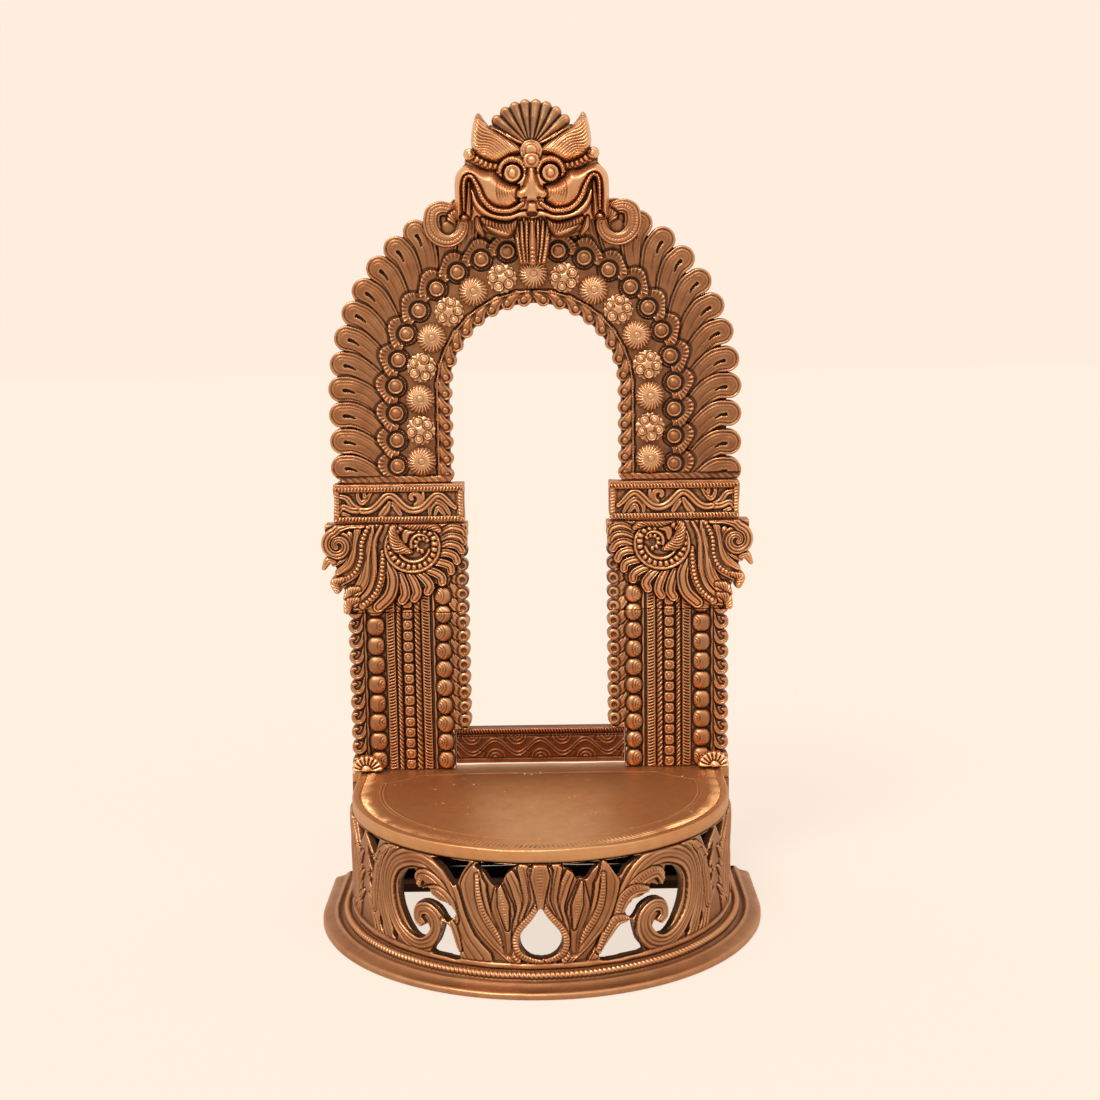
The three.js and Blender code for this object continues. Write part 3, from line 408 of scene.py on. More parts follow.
def add_pair_piece(kind, side, plate, faces, finish):
    """The left or right one of a pair, from a plate drawn on the +X side.
    Its faces are a front y, a back and the rounding of the edge, and its finish a slot, which is not used,
    and a material."""
    front_y, back, rounding = faces
    built = plate.build(back, lambda u, v, w: (side * u, front_y - w, v), rounding)
    name = "right" if side > 0 else "left"
    add_piece(f"carved_{kind}_{name}", built, "prabhavali", [f"{name}_{kind}"], *finish)


# Materials

# The darkest colours serve deep patina, and also the painted shade that some pieces write into their cavity
# values.
SOOT_AND_SHADE = (0.048, 0.031, 0.021)
UMBER = (0.088, 0.047, 0.026)
# Added to back-facing faces of the inner metal, which stand outside its painted shade.
UNSHADED_OUTSIDE = (0.2, 0.092, 0.042, 1)
CAVITY_SHARE = 0.31


def add_node(tree, kind, inputs=None, **settings):
    """A shader node with its settings, and its inputs as values or as the sockets that feed them."""
    node = tree.nodes.new(kind)
    for name, value in settings.items():
        setattr(node, name, value)
    for name, value in (inputs or {}).items():
        if isinstance(value, bpy.types.NodeSocket):
            tree.links.new(value, node.inputs[name])
        else:
            node.inputs[name].default_value = value
    return node


def combine(tree, operation, a, b):
    """One arithmetic step between sockets or numbers."""
    return add_node(tree, "ShaderNodeMath", {0: a, 1: b}, operation=operation).outputs[0]


def ramp(tree, source, stops):
    """A colour ramp; a stop's colour is a triple or one number."""
    node = add_node(tree, "ShaderNodeValToRGB", {0: source})
    elements = node.color_ramp.elements
    while len(elements) < len(stops):
        elements.new(0.5)
    for element, (position, colour) in zip(elements, stops):
        element.position = position
        element.color = (*colour, 1) if isinstance(colour, tuple) else (colour, colour, colour, 1)
    return node.outputs[0]


def brass(name, tone, worn, roughness, seed, patina=1.0):
    """Aged cast brass: dark patina in the recesses, plain metal, and bright worn edges; painted shade,
    where a piece writes it into the cavity, takes the dark colours too.
    """
    material = bpy.data.materials.new(name)
    material.use_nodes = True
    tree = material.node_tree
    tree.nodes.clear()
    place = add_node(tree, "ShaderNodeTexCoord").outputs["Object"]

    def noise(scale, detail, rough=0.6):
        inputs = {"Scale": scale, "Detail": detail, "Roughness": rough, "W": seed, "Vector": place}
        return add_node(tree, "ShaderNodeTexNoise", inputs, noise_dimensions="4D").outputs["Fac"]

    def swing(source, share):
        """A noise that goes to both sides of zero."""
        return combine(tree, "MULTIPLY", combine(tree, "SUBTRACT", source, 0.5), share)

    cavity = add_node(tree, "ShaderNodeAttribute", attribute_name="cavity").outputs["Fac"]
    broad = noise(22, 3)
    medium = noise(160, 5, 0.7)
    fine = noise(1100, 4, 0.7)
    drift = combine(tree, "ADD", swing(medium, 0.5), swing(broad, 0.35))
    level = combine(tree, "ADD", combine(tree, "MULTIPLY", cavity, CAVITY_SHARE * patina), 0.5)
    level = combine(tree, "ADD", level, combine(tree, "MULTIPLY", drift, 0.5))
    dark = tuple(c * 0.5 for c in tone)
    bright = tuple(min(1, c * 1.2) for c in worn)
    stops = [(0.0, SOOT_AND_SHADE), (0.14, UMBER), (0.32, dark), (0.5, tone), (0.74, worn), (0.98, bright)]
    tint = ramp(tree, broad, [(0.3, (1.0, 0.8, 0.66)), (0.55, (1, 1, 1)), (0.75, (0.93, 0.97, 0.9))])
    colour = add_node(tree, "ShaderNodeMix", {"Factor": 0.6, "A": ramp(tree, level, stops), "B": tint},
                      data_type="RGBA", blend_type="MULTIPLY")
    metal = ramp(tree, level, [(0.06, 0.2), (0.3, 0.8), (0.5, 1.0)])
    gloss = ramp(tree, combine(tree, "ADD", level, swing(fine, 0.5)),
                 [(0.1, 0.8), (0.45, roughness + 0.08), (0.9, roughness - 0.06)])
    pits = add_node(tree, "ShaderNodeTexVoronoi", {"Scale": 420, "Vector": place}, feature="SMOOTH_F1")
    pitted = ramp(tree, pits.outputs["Distance"], [(0.02, 0.0), (0.16, 1.0)])
    surface = combine(tree, "ADD", combine(tree, "MULTIPLY", fine, 0.5),
                      combine(tree, "MULTIPLY", medium, 0.6))
    surface = combine(tree, "ADD", surface, combine(tree, "MULTIPLY", pitted, 0.25))
    bump = add_node(tree, "ShaderNodeBump", {"Strength": 0.35, "Distance": 0.0004, "Height": surface})
    shader = add_node(tree, "ShaderNodeBsdfPrincipled", {
        "Base Color": colour.outputs["Result"], "Metallic": metal, "Roughness": gloss,
        "Normal": bump.outputs[0]})
    add_node(tree, "ShaderNodeOutputMaterial", {"Surface": shader.outputs[0]})
    return material


def clean_outside(material):
    """Lighter metal on faces that look backwards, which are left out of the painted shade of the inner
    metal.
    """
    tree = material.node_tree
    base = next(node for node in tree.nodes if node.type == "BSDF_PRINCIPLED").inputs["Base Color"]
    place = add_node(tree, "ShaderNodeTexCoord")
    normal = add_node(tree, "ShaderNodeSeparateXYZ", {0: place.outputs["Normal"]})
    outside = combine(tree, "GREATER_THAN", normal.outputs["Y"], 0.5)
    lighter = add_node(tree, "ShaderNodeMix", {"Factor": outside, "A": base.links[0].from_socket,
                                               "B": UNSHADED_OUTSIDE},
                       data_type="RGBA", blend_type="ADD")
    tree.links.new(lighter.outputs["Result"], base)


BRASS = brass("aged_brass", (0.33, 0.150, 0.070), (0.50, 0.26, 0.13), 0.38, 1.0)
BRASS_DARK = brass("dark_brass", (0.22, 0.10, 0.05), (0.42, 0.22, 0.12), 0.5, 4.0)
BRASS_BRIGHT = brass("bright_brass", (0.48, 0.25, 0.13), (0.78, 0.5, 0.29), 0.34, 7.0)
# Rail metal: a much darker copy of the brass, painted shade for the rail set back between the pillars.
BRASS_RAIL_PAINTED_SHADE = brass("rail_brass_painted_shade", (0.13, 0.045, 0.018), (0.28, 0.12, 0.06), 0.4, 9.0)
BRASS_FOOT = brass("foot_brass", (0.375, 0.173, 0.078), (0.60, 0.335, 0.175), 0.38, 12.0)
# Seat metal: a lighter copy of the brass, painted light on the seat's top.
BRASS_SEAT_PAINTED_LIGHT = brass("seat_brass_painted_light", (0.58, 0.30, 0.132), (0.74, 0.44, 0.225), 0.4, 13.0)
BRASS_FRAME = brass("frame_brass", (0.28, 0.124, 0.056), (0.44, 0.225, 0.112), 0.40, 15.0)
BRASS_BLOCK = brass("block_brass", (0.39, 0.185, 0.088), (0.60, 0.33, 0.17), 0.38, 21.0)
# Mask metal: a lighter copy of the brass with a weaker patina share, painted light on the mask.
BRASS_MASK_PAINTED_LIGHT = brass("mask_brass_painted_light", (0.60, 0.315, 0.16), (0.80, 0.49, 0.27), 0.33, 19.0, 0.48)
# Inner metal: near-black, painted shade for the inside of the base.
BRASS_INNER_PAINTED_SHADE = brass("inner_brass_painted_shade", (0.05, 0.025, 0.014), (0.12, 0.06, 0.035), 0.7, 17.0)


# Arch

def arch_point(along, radius, reference, side=1, lift=0.0):
    """A place on the arch: distance along a reference line from the crown, and radius."""
    quarter = math.pi / 2 * reference
    angle = min(along, quarter) / reference
    below = max(0.0, along - quarter)
    return side * radius * math.sin(angle), SPRINGING + lift + radius * math.cos(angle) - below


def half_length(reference, lift=0.0):
    """Length of a line round half of the arch, at a radius."""
    return math.pi / 2 * reference + ARCH_LEG + lift


def arch_line(radius, side, lift):
    """A line that keeps its distance from the arch's centre line."""
    stations = np.linspace(0, half_length(radius, lift), 60)
    return np.array([arch_point(a, radius, radius, side, lift) for a in stations])


def arch_reach(plate, lift):
    """Distance of each point from the arch's centre line, straight below the springing."""
    rise = plate.V - SPRINGING - lift
    return np.where(rise > 0, np.hypot(plate.U, rise), np.abs(plate.U))


PETAL_PITCH = {-1: 13.5, 1: 14.5}
PETAL_COUNT = 14
PETAL_FIRST = {-1: -5.1, 1: 4.5}
PETAL_DRAWN = [(8.5, 79.5), (5.0, 83.0), (1.8, 88.5), (0.0, 94.0), (0.0, 99.4)]
PETAL_LEAN = {-1: 1.2, 1: 1.65}
SHOULDER = 0.02
FLORET_RADIUS = 71.4
FLORET_COUNT = 11
FLORET_FIRST = 8.5
FLORET_PITCH = 13.75
SCALLOP_RADIUS = 45.0
SCALLOP_PITCH = 8.6
CORD_RADIUS = 50.2


def draw_petal(arch, along, side):
    """A feather that leans towards the crown, with its rim lines and an almond hollow at its tip."""
    angle = min(along / ARCH_OUTER, math.pi / 2)
    grow = 1 + SHOULDER * math.sin(2 * angle) ** 2

    def drawn(places):
        return curve([arch_point(along + ahead * PETAL_LEAN[side], radius * grow, ARCH_OUTER, side)
                      for ahead, radius in places])

    arch.stroke(drawn(PETAL_DRAWN), [4.6, 5.2, 5.8, 6.4, 6.7], [0.9, 1.3, 1.8, 2.1, 2.2], form=4, seam=1.3,
                grooves=[(0.76, 0.9, 0.42), (-0.76, 0.8, 0.42), (0.5, 0.3, 0.36), (-0.5, 0.35, 0.36)])
    arch.groove(drawn([(6.6, 81.5), (3.0, 86.5), (1.0, 91.0), (0.4, 94.4)]), 0.5, 0.25, (0.2, 1, 1))
    arch.stroke(drawn([(1.6, 91.6), (0.5, 95.0), (0.3, 98.6)]), [0.9, 1.7, 2.0], [0.5], level=1.3, form=3,
                cover=False, solid=False)
    arch.stroke(drawn([(1.5, 92.4), (0.5, 95.2), (0.3, 97.8)]), [0.3, 0.55, 0.85], [-0.9, -1.5, -1.8],
                level=1.5, form=6, solid=False)


def draw_floret(arch, along, side):
    """A round button with its fan of ridges, turned outwards and a little up."""
    centre = arch_point(along, FLORET_RADIUS, FLORET_RADIUS, side, CROWN_LIFT)
    outer = arch_point(along, FLORET_RADIUS + 5, FLORET_RADIUS, side, CROWN_LIFT)
    facing = math.atan2(outer[1] - centre[1], outer[0] - centre[0]) + side * 0.22
    part = arch.window(np.array([centre]), 11.5)
    u, v = arch.U[part] - centre[0], arch.V[part] - centre[1]
    reach = np.hypot(u, v)
    angle = (np.arctan2(v, u) - facing + math.pi) % (2 * math.pi) - math.pi
    lobe = 9.1 + 0.7 * np.cos(angle) + 0.8 * np.cos(4 * angle)
    lobe = np.where(np.abs(angle) > 1.5, 5.4, lobe)
    fan = reach / lobe
    ridge = np.cos(26 * angle) * np.clip((fan - 0.66) / 0.12, 0, 1)
    height = -0.7 + np.interp(reach, [0, 4.4, 6.0, 9.0], [0.9, 0.8, 1.7, 2.5]) + 0.42 * ridge
    height -= 0.9 * np.clip((fan - 0.93) / 0.07, 0, 1) ** 2
    arch.height[part] -= 0.9 * np.exp(-(((fan - 1.03) * 10) ** 2))
    arch.lay(part, fan < 1, height, True)
    arch.ring(centre, 4.6, 0.5, -0.9)
    arch.dome(centre, (3.9, 3.9), 1.5, level=0.3, form=5, seam=0.5)
    arch.ring(centre, 2.7, 0.36, -0.7)
    arch.dome(centre, (1.7, 1.7), 0.6, level=1.6, form=3, solid=False)


def draw_scallop(arch, along, side):
    """A comma-shaped curl on the inner edge, its head nearer to the foot."""
    drawn = [(-8.6, 50.0), (-5.8, 49.4), (-2.8, 48.0), (-0.4, 46.1)]
    line = curve([arch_point(max(0.0, along + a), r, SCALLOP_RADIUS, side, CROWN_LIFT) for a, r in drawn])
    arch.stroke(line, [0.9, 2.2, 3.2, 3.5], [0.3, 1.1, 1.6, 1.6], level=-0.4, form=2.6, seam=1.0,
                grooves=[(0.55, 0.7, 0.36), (-0.55, 0.6, 0.36)])
    head = arch_point(along, 46.0, SCALLOP_RADIUS, side, CROWN_LIFT)
    arch.ring(head, 1.9, 0.36, -0.6)


def torana_arch():
    arch = Relief((-107, ARCH_FOOT), (107, SPRINGING + 105), 0.42)
    rise = arch.V - SPRINGING
    reach = arch_reach(arch, 0.0)
    lifted = arch_reach(arch, CROWN_LIFT)
    angle = np.where(rise > 0, np.arctan2(np.abs(arch.U), rise), math.pi / 2)
    body = np.interp(angle, [0.36, 0.46], [ARCH_OUTER - 0.5, 98.5])
    arch.plate(np.maximum(ARCH_INNER - lifted, reach - body), 0.0)
    arch.height += np.interp(lifted, [49, 50.5, 81, 84], [-0.2, -0.9, -0.9, -0.4])
    for side in (-1, 1):
        for k in range(PETAL_COUNT):
            along = half_length(ARCH_OUTER) - PETAL_FIRST[side] - (PETAL_COUNT - 1 - k) * PETAL_PITCH[side]
            if along > 20:
                draw_petal(arch, along + rng.uniform(-0.3, 0.3), side)
        for k in range(FLORET_COUNT):
            along = half_length(FLORET_RADIUS, CROWN_LIFT) - FLORET_FIRST - k * FLORET_PITCH
            draw_floret(arch, along + rng.uniform(-0.3, 0.3), side)
        half = half_length(SCALLOP_RADIUS, CROWN_LIFT)
        count = round(half / SCALLOP_PITCH)
        for k in range(count):
            draw_scallop(arch, (k + 0.62) * half / count, side)
        arch.stroke(arch_line(CORD_RADIUS, side, CROWN_LIFT), [0.65], [1.3], level=-0.6, seam=0.3,
                    ticks=(1.5, 0.3, -1, 1, 0.3), solid=False)
    arch.stroke(np.array([[-106, ARCH_FOOT + 1.6], [106, ARCH_FOOT + 1.6]]), [1.9], [1.1], level=-0.3,
                form=3, seam=0.6, ticks=(3.7, 0.5, -1, 1, 0.9), solid=False)
    arch.height += 0.12 * unevenness(arch.U.shape, 5)
    arch.trim(ARCH_FOOT - arch.V)
    arch.height = np.minimum(arch.height, 2.6)
    points, triangles, quads, worn = arch.build(-FRAME_THICKNESS, upright(FRAME_FRONT_Y), 0.7)
    # Painted shade on the front, growing towards +X, away from the key light; more patina round the florets
    away = np.hypot(points[:, 0], np.maximum(points[:, 2] - SPRINGING, 0))
    front = points[:, 1] < FRAME_FRONT_Y + 1
    painted_shade_plus_x = 0.16 * np.clip(points[:, 0] / 60, 0, 1)
    worn = worn - 0.14 - front * (painted_shade_plus_x + 0.15 * ((away > 66) & (away < 81)))
    add_piece("carved_arch", (points, triangles, quads, worn), "prabhavali", ["torana_arch"], "brass",
              BRASS)


# Rosettes round the inner edge of the arch

def daisy(seed):
    flower = Relief((-8.5, -8.5), (8.5, 8.5), 0.24)
    reach = np.hypot(flower.U, flower.V)
    angle = np.arctan2(flower.V, flower.U) + seed
    petals = 22
    flower.plate(reach - ROSETTE_SIZE - 0.4 - 0.2 * np.cos(petals * angle))
    crown = np.interp(reach, [0, 2.2, 4.4, 6.0, 7.2], [3.9, 3.7, 3.2, 2.4, 1.3])
    ridge = np.cos(petals * (angle + 0.05 * reach)) * np.clip((reach - 3.2) / 2.0, 0, 1)
    flower.height = crown + 0.45 * ridge
    flower.ring((0.3, 0), 1.7, 0.3, -0.35)
    flower.height += 0.08 * unevenness(flower.U.shape, 5)
    return flower


def cluster(seed):
    flower = Relief((-8.5, -8.5), (8.5, 8.5), 0.24)
    reach = np.hypot(flower.U, flower.V)
    angle = np.arctan2(flower.V, flower.U) + seed
    flower.plate(reach - ROSETTE_SIZE - 0.4 - 0.15 * np.cos(16 * angle))
    flower.height = np.interp(reach, [0, 2.5, 5.0, 7.2], [3.6, 3.3, 2.2, 1.1])
    flower.height += 0.2 * np.cos(16 * angle) * np.clip((reach - 5.0) / 2, 0, 1)
    for i in range(5):
        turn = -seed + (i + rng.uniform(-0.08, 0.08)) * 2 * math.pi / 5
        place = (4.5 * math.cos(turn), 4.5 * math.sin(turn))
        size = rng.uniform(2.1, 2.6)
        flower.dome(place, (size, size), 1.5, level=2.0, seam=0.5)
        flower.ring(place, size * 0.62, 0.28, -0.7)
    flower.height += 0.08 * unevenness(flower.U.shape, 5)
    return flower


def rosettes():
    for i in range(-ROSETTES_PER_SIDE, ROSETTES_PER_SIDE + 1):
        side = -1 if i < 0 else 1
        x, z = arch_point(abs(i) * ROSETTE_PITCH, ROSETTE_ORBIT, ROSETTE_ORBIT, side, CROWN_LIFT)
        seed = rng.uniform(0, math.pi)
        flower = daisy(seed) if i % 2 == 0 else cluster(seed)
        front = FRAME_FRONT_Y - SEAT_GAP
        built = flower.build(0.0, lambda u, v, w: (x + u, front - w, z + v), 0.5)
        name = f"{i + ROSETTES_PER_SIDE + 1:02d}"
        add_piece(f"carved_rosette_{name}", built, "prabhavali", [f"inner_rosette_{name}"],
                  "brass_bright", BRASS_BRIGHT)


# Abacus blocks over the capitals

def abacus(side):
    low, high = PILLAR_INNER + 1.5, PILLAR_OUTER + 5
    block = Relief((low, ABACUS_FOOT), (high, ABACUS_TOP), 0.32)
    middle = (ABACUS_FOOT + ABACUS_TOP) / 2
    half_width, half_height = (high - low) / 2, (ABACUS_TOP - ABACUS_FOOT) / 2
    away_u, away_v = np.abs(block.U - low - half_width), np.abs(block.V - middle)
    edge = np.maximum(away_u - half_width, away_v - half_height)
    block.plate(edge, 0.0)
    panel = np.maximum(away_u - half_width + 3.6, away_v - 6.6)
    block.height -= 1.3 * np.clip(-panel / 0.6, 0, 1)
    block.stipple(panel < 0, 0.12)
    x = np.linspace(low + 4.6, low + 53, 60)
    bend = 2 * math.pi * (x - low - 13.2) / 25.2
    wave = np.column_stack([x, middle + 4.0 * np.cos(bend) + 0.5 * np.cos(2 * bend)])
    ribbon = [(0.05, 0.9, 0.34)]

    def leaf(points, width, top=1.5):
        drawn = curve([(low + u, middle + v) for u, v in points])
        block.stroke(drawn, width, [top], level=-1.2, form=2.6, seam=0.4, grooves=[(0, 0.7, 0.3)])

    leaf([(7.5, -5.8), (10.5, -1.0), (14.5, 0.8), (17.5, -2.4), (17.8, -5.8)], [1.0, 1.7, 1.9, 1.6, 1.0])
    leaf([(10.2, -6), (13.4, -2.6), (15.2, -6)], [1.0, 1.5, 0.9])
    leaf([(33.0, -5.6), (35.6, -1.2), (38.4, 0.4)], [1.3, 2.0, 1.2])
    leaf([(42.6, -5.8), (39.8, -2.0), (38.6, 0.6)], [2.2, 2.2, 1.2], 1.8)
    leaf([(48.0, 6.0), (50.4, 2.4), (53.0, 0.6), (54.8, 3.6), (54.6, 6.2)], [0.9, 1.3, 1.5, 1.2, 0.9])
    leaf([(51.4, 6.2), (51.2, 3.8)], [0.9, 1.3])
    leaf([(63.6, 6.0), (65.4, 3.0)], [0.9, 1.2])
    leaf([(59.6, -5.9), (62.6, -4.9)], [1.0, 1.3])
    swirl = np.vstack([spiral((low + 26.0, middle + 2.9), (1.0, 3.9), (-30, 250), 34),
                       curve([(low + 24.6, middle - 0.8), (low + 21.6, middle + 1.4),
                              (low + 21, middle + 6)])])
    block.stroke(swirl, [1.3, 1.7, 1.8, 1.5, 0.9], [1.6], level=-1.2, form=2.4, seam=0.6,
                 grooves=[(0, 0.4, 0.24)])
    for drawn in ([(53, -3.2), (57.4, -1.0), (60.6, 3.2), (65.4, 4.4)],
                  [(53, -3.2), (58, -3.0), (62.6, -1.4), (65.4, -5)]):
        line = curve([(low + u, middle + v) for u, v in drawn])
        block.stroke(line, [1.8, 1.8, 1.6, 1.1], [1.8], level=-1.1, form=2.6, grooves=ribbon, seam=0.5)
    block.stroke(wave, [1.2, 1.9, 2.0, 2.0, 1.9, 1.8], [1.9], level=-1.1, form=2.8, grooves=ribbon,
                 seam=0.5)
    for height, size in ((ABACUS_TOP - 2.6, 1.15), (ABACUS_FOOT + 2.2, 1.2)):
        cord = np.array([(low - 1, height), (high + 1, height)])
        block.stroke(cord, [size + 0.25], [1.2], level=0.1, ticks=(1.7, 1.1, -0.9, 0.9, 0.25), seam=0.5,
                     solid=False)
    for across in (low + 1.8, high - 1.8):
        rib = np.array([(across, ABACUS_FOOT + 3.8), (across, ABACUS_TOP - 4.2)])
        block.stroke(rib, [1.3], [0.7], level=0.0, ticks=(1.6, 0.6, -0.9, 0.9, 0.3), seam=0.5, solid=False)
    block.height += 0.15 * unevenness(block.U.shape, 8)
    block.trim(edge + 0.15 * unevenness(block.U.shape, 14))
    faces = (FRAME_FRONT_Y - ABACUS_PROUD, -FRAME_THICKNESS - ABACUS_PROUD, 0.7)
    add_pair_piece("abacus", side, block, faces, ("brass", BRASS_BLOCK))


# Capitals

ROUNDEL = (64.8, 185.0)
VOLUTE = (104.4, 186.4)


def capital(side):
    block = Relief((PILLAR_INNER - 0.5, CAPITAL_FOOT), (PILLAR_OUTER + 14, CAPITAL_TOP), 0.32)
    pillar_columns(block, CAPITAL_FOOT - 1.2, 180.0, -CAPITAL_PROUD)
    body = np.array([(36.6, 198), (36.6, 182), (41, 176), (46, 169), (55, 164), (64, 160), (76, 160),
                     (83, 154), (92, 151.5), (98, 151.5), (100, 160), (103, 169), (106, 178), (110, 186),
                     (110, 198)])
    face = outline_distance(block.U, block.V, body)
    block.height = np.where(face < 0, np.maximum(block.height, -0.5), block.height)
    block.outside = np.minimum(block.outside, face)
    loop = pair(0.5, 1.2, 0.36)
    x, z = ROUNDEL

    # Hooked leaves round the roundel, from its top on the inner side to the large one under it
    leaves = [
        ([(49.6, 195.9), (43.1, 198.2), (38.6, 197.0), (37.6, 194.4)], 2.0),
        ([(49.6, 192.1), (44.0, 194.6), (39.0, 193.3), (37.8, 190.6)], 2.1),
        ([(50.1, 188.2), (44.9, 190.3), (40.3, 189.5), (38.4, 186.9)], 2.1),
        ([(50.9, 183.9), (45.7, 186.3), (41.2, 185.2), (39.2, 182.6)], 2.2),
        ([(52.7, 180.5), (47.5, 181.8), (43.1, 180.1), (41.8, 177.1)], 2.2),
        ([(55.3, 177.1), (50.1, 176.6), (45.7, 174.9), (44.9, 171.9)], 2.3),
        ([(59.6, 173.2), (54.4, 171.9), (50.1, 169.3), (49.6, 166.3)], 2.5),
        ([(62.2, 171.5), (57.9, 167.6), (56.1, 164.2), (57.3, 161.4)], 2.6),
        ([(66.5, 170.6), (63.7, 165.1), (62.8, 160.8), (64.4, 157.8)], 2.6),
        ([(71.4, 170.2), (69.4, 164.2), (69.0, 159.9), (70.7, 156.9)], 2.8),
        ([(78.2, 177.1), (75.2, 168.5), (77.0, 159.9), (83.0, 153.6)], 3.4)]
    for drawn, width in leaves:
        block.stroke(curve(drawn), [width * 0.7, width * 0.95, width, width * 0.9], [2.0, 2.7, 2.7, 2.3],
                     level=-0.2, form=3, seam=1.0, grooves=loop)

    # Long ribs that sweep down and out
    ribs = [
        ([(85.6, 196), (86.2, 188), (88.2, 180.5), (90.2, 168), (97.2, 158.4)],
         [1.4, 2.3, 3.0, 3.2, 2.4], 0),
        ([(92.4, 196), (95.0, 184), (97.6, 176.4), (103.6, 171.6)], [1.6, 2.6, 3.0, 2.0], 0),
        ([(97, 192), (99.2, 184), (101.4, 179.4), (105.6, 176.4)], [1.6, 2.4, 2.2, 1.4], 0),
        ([(80.4, 196), (84.2, 187.3), (85.0, 170.2), (88.4, 161.0), (95.4, 155.0)],
         [1.0, 1.3, 1.5, 1.6, 1.6], 0),
        ([(79.8, 182), (81.4, 168.5), (85.0, 160.2), (91.4, 154.4)], [1.2, 1.5, 1.6, 1.5], 1),
        ([(87.0, 196.4), (90.8, 187.3), (91.5, 178.8), (95.4, 171.4), (104.6, 166.6)],
         [1.2, 1.5, 1.7, 1.9, 2.3], 1)]
    for drawn, width, beaded in ribs:
        line = curve(drawn)
        if beaded:
            block.stroke(line, [w + 0.5 for w in width], [1.0], level=0.4, form=3, seam=1.1)
            block.beads(line, 2.1, (1.1, 1.5), 1.5, level=1.0)
        else:
            block.stroke(line, width, [2.3], level=0.2, form=2.8, seam=0.9,
                         grooves=pair(0.62, 0.7, 0.28) + [(0.1, 0.6, 0.28)])
    for tip in ([(93.2, 163.4), (97.6, 162.0), (99.6, 158.2)],
                [(94.0, 157.8), (98.4, 156.2), (99.6, 151.6)],
                [(101.4, 168.6), (105.4, 166.8), (104.4, 162.6)]):
        block.stroke(curve(tip), [1.6, 2.6, 2.0], [2.2], level=0.6, seam=0.9, ticks=(1.5, 0.7, -1, 1, 0.6))

    # Outer volute with the band that runs into it from the abacus
    block.dome((VOLUTE[0] - 1.0, VOLUTE[1]), (7.6, 7.6), 1.4, level=0.4, form=6, seam=0.8)
    band = np.vstack([curve([(90, 196.4), (97, 196.8), (102.6, 195.4)]),
                      spiral((VOLUTE[0] - 1.2, VOLUTE[1]), (6.9, 1.4), (76, -400), 60)])
    block.stroke(band, [1.2, 2.1, 2.7, 2.8, 2.6, 2.2, 1.6], [2.8], level=0.4, form=2.8, seam=1.0,
                 grooves=pair(0.36, 1.0, 0.34))
    block.stroke(curve([(105.4, 177.6), (108.6, 178.2), (111.0, 174.4)]), [1.6, 2.2, 1.3], [2.0], level=0,
                 seam=0.8, grooves=[(0, 0.5, 0.28)])

    # Roundel: rim, beaded spiral, eye, hooked leaf and the ticked leaf on top
    reach = np.hypot((block.U - x) / 15.0, (block.V - z) / 13.4)
    block.height = np.where(reach < 1, 0.3, block.height)
    block.outside = np.where(reach < 1, -2, block.outside)
    rim = spiral((x, z), (14.0, 13.4), (138, 405), 50)
    rim[:, 1] = z + (rim[:, 1] - z) * 0.92
    block.stroke(rim, [1.0, 1.25, 1.3, 1.3, 1.1], [2.4], level=0.4, seam=0.9)
    beaded = np.vstack([spiral((x - 4.6, z + 2.2), (6.6, 7.2), (70, 180), 20),
                        spiral((x - 0.2, z + 0.4), (11.4, 11.6), (187, 428), 50)])
    beaded[:, 1] = z + (beaded[:, 1] - z) * 0.94
    block.beads(beaded, 2.95, (1.5, 1.95), 2.4, level=0.7, plan=3.2, seam=0.6)
    inner = np.vstack([spiral((x - 4.2, z + 1.6), (4.9, 4.6), (150, -20), 30),
                       spiral((x - 0.6, z + 0.8), (8.6, 8.2), (196, 350), 30)[::-1]])
    block.stroke(inner[:30], [0.8, 1.1, 1.1], [2.4], level=0.7, seam=0.7)
    block.stroke(inner[30:], [0.8, 1.1, 0.9], [2.2], level=0.7, seam=0.7)
    block.beads(spiral((x - 5.2, z + 1.0), (3.6, 3.2), (160, -110), 28), 2.3, (1.1, 1.5), 1.9, level=0.6,
                plan=3)
    block.dome((x - 5.6, z + 0.8), (1.7, 1.7), -1.6, level=1.4, form=4)
    block.stroke(curve([(x - 1.0, z + 8.6), (x + 2.8, z + 7.4), (x + 3.6, z + 3.0)]), [1.6, 2.3, 1.6],
                 [2.0], level=0.4, seam=0.6, grooves=[(0, 0.5, 0.3)])
    block.stroke(curve([(x + 8.6, z + 12.6), (x + 9.8, z + 7.4), (x + 7.4, z + 0.6), (x + 1.0, z - 2.6)]),
                 [1.5, 2.6, 3.7, 1.3], [2.6, 3.2, 2.8], level=0.8, seam=1.1,
                 ticks=(1.9, 1.0, -0.9, 0.9, 0.9))
    block.stroke(curve([(x - 14.2, z + 8.6), (x - 8, z + 12.0), (x - 1, z + 11.4), (x + 6.4, z + 12.6)]),
                 [1.4, 3.0, 2.6, 1.0], [2.6, 3.2, 2.8], level=1.2, seam=0.8, ticks=(2.0, 1.2, -1, 1, 0.9))
    block.height += 0.13 * unevenness(block.U.shape, 6)
    block.height = np.minimum(block.height, 4.4)
    block.trim(np.maximum(block.V - CAPITAL_TOP, CAPITAL_FOOT - 0.1 - block.V))
    block.trim(np.maximum(PILLAR_INNER - block.U, block.U - PILLAR_OUTER - 13.4))
    faces = (FRAME_FRONT_Y - CAPITAL_PROUD, -FRAME_THICKNESS - CAPITAL_PROUD, 0.8)
    add_pair_piece("capital", side, block, faces, ("brass", BRASS_BLOCK))


# Pillars

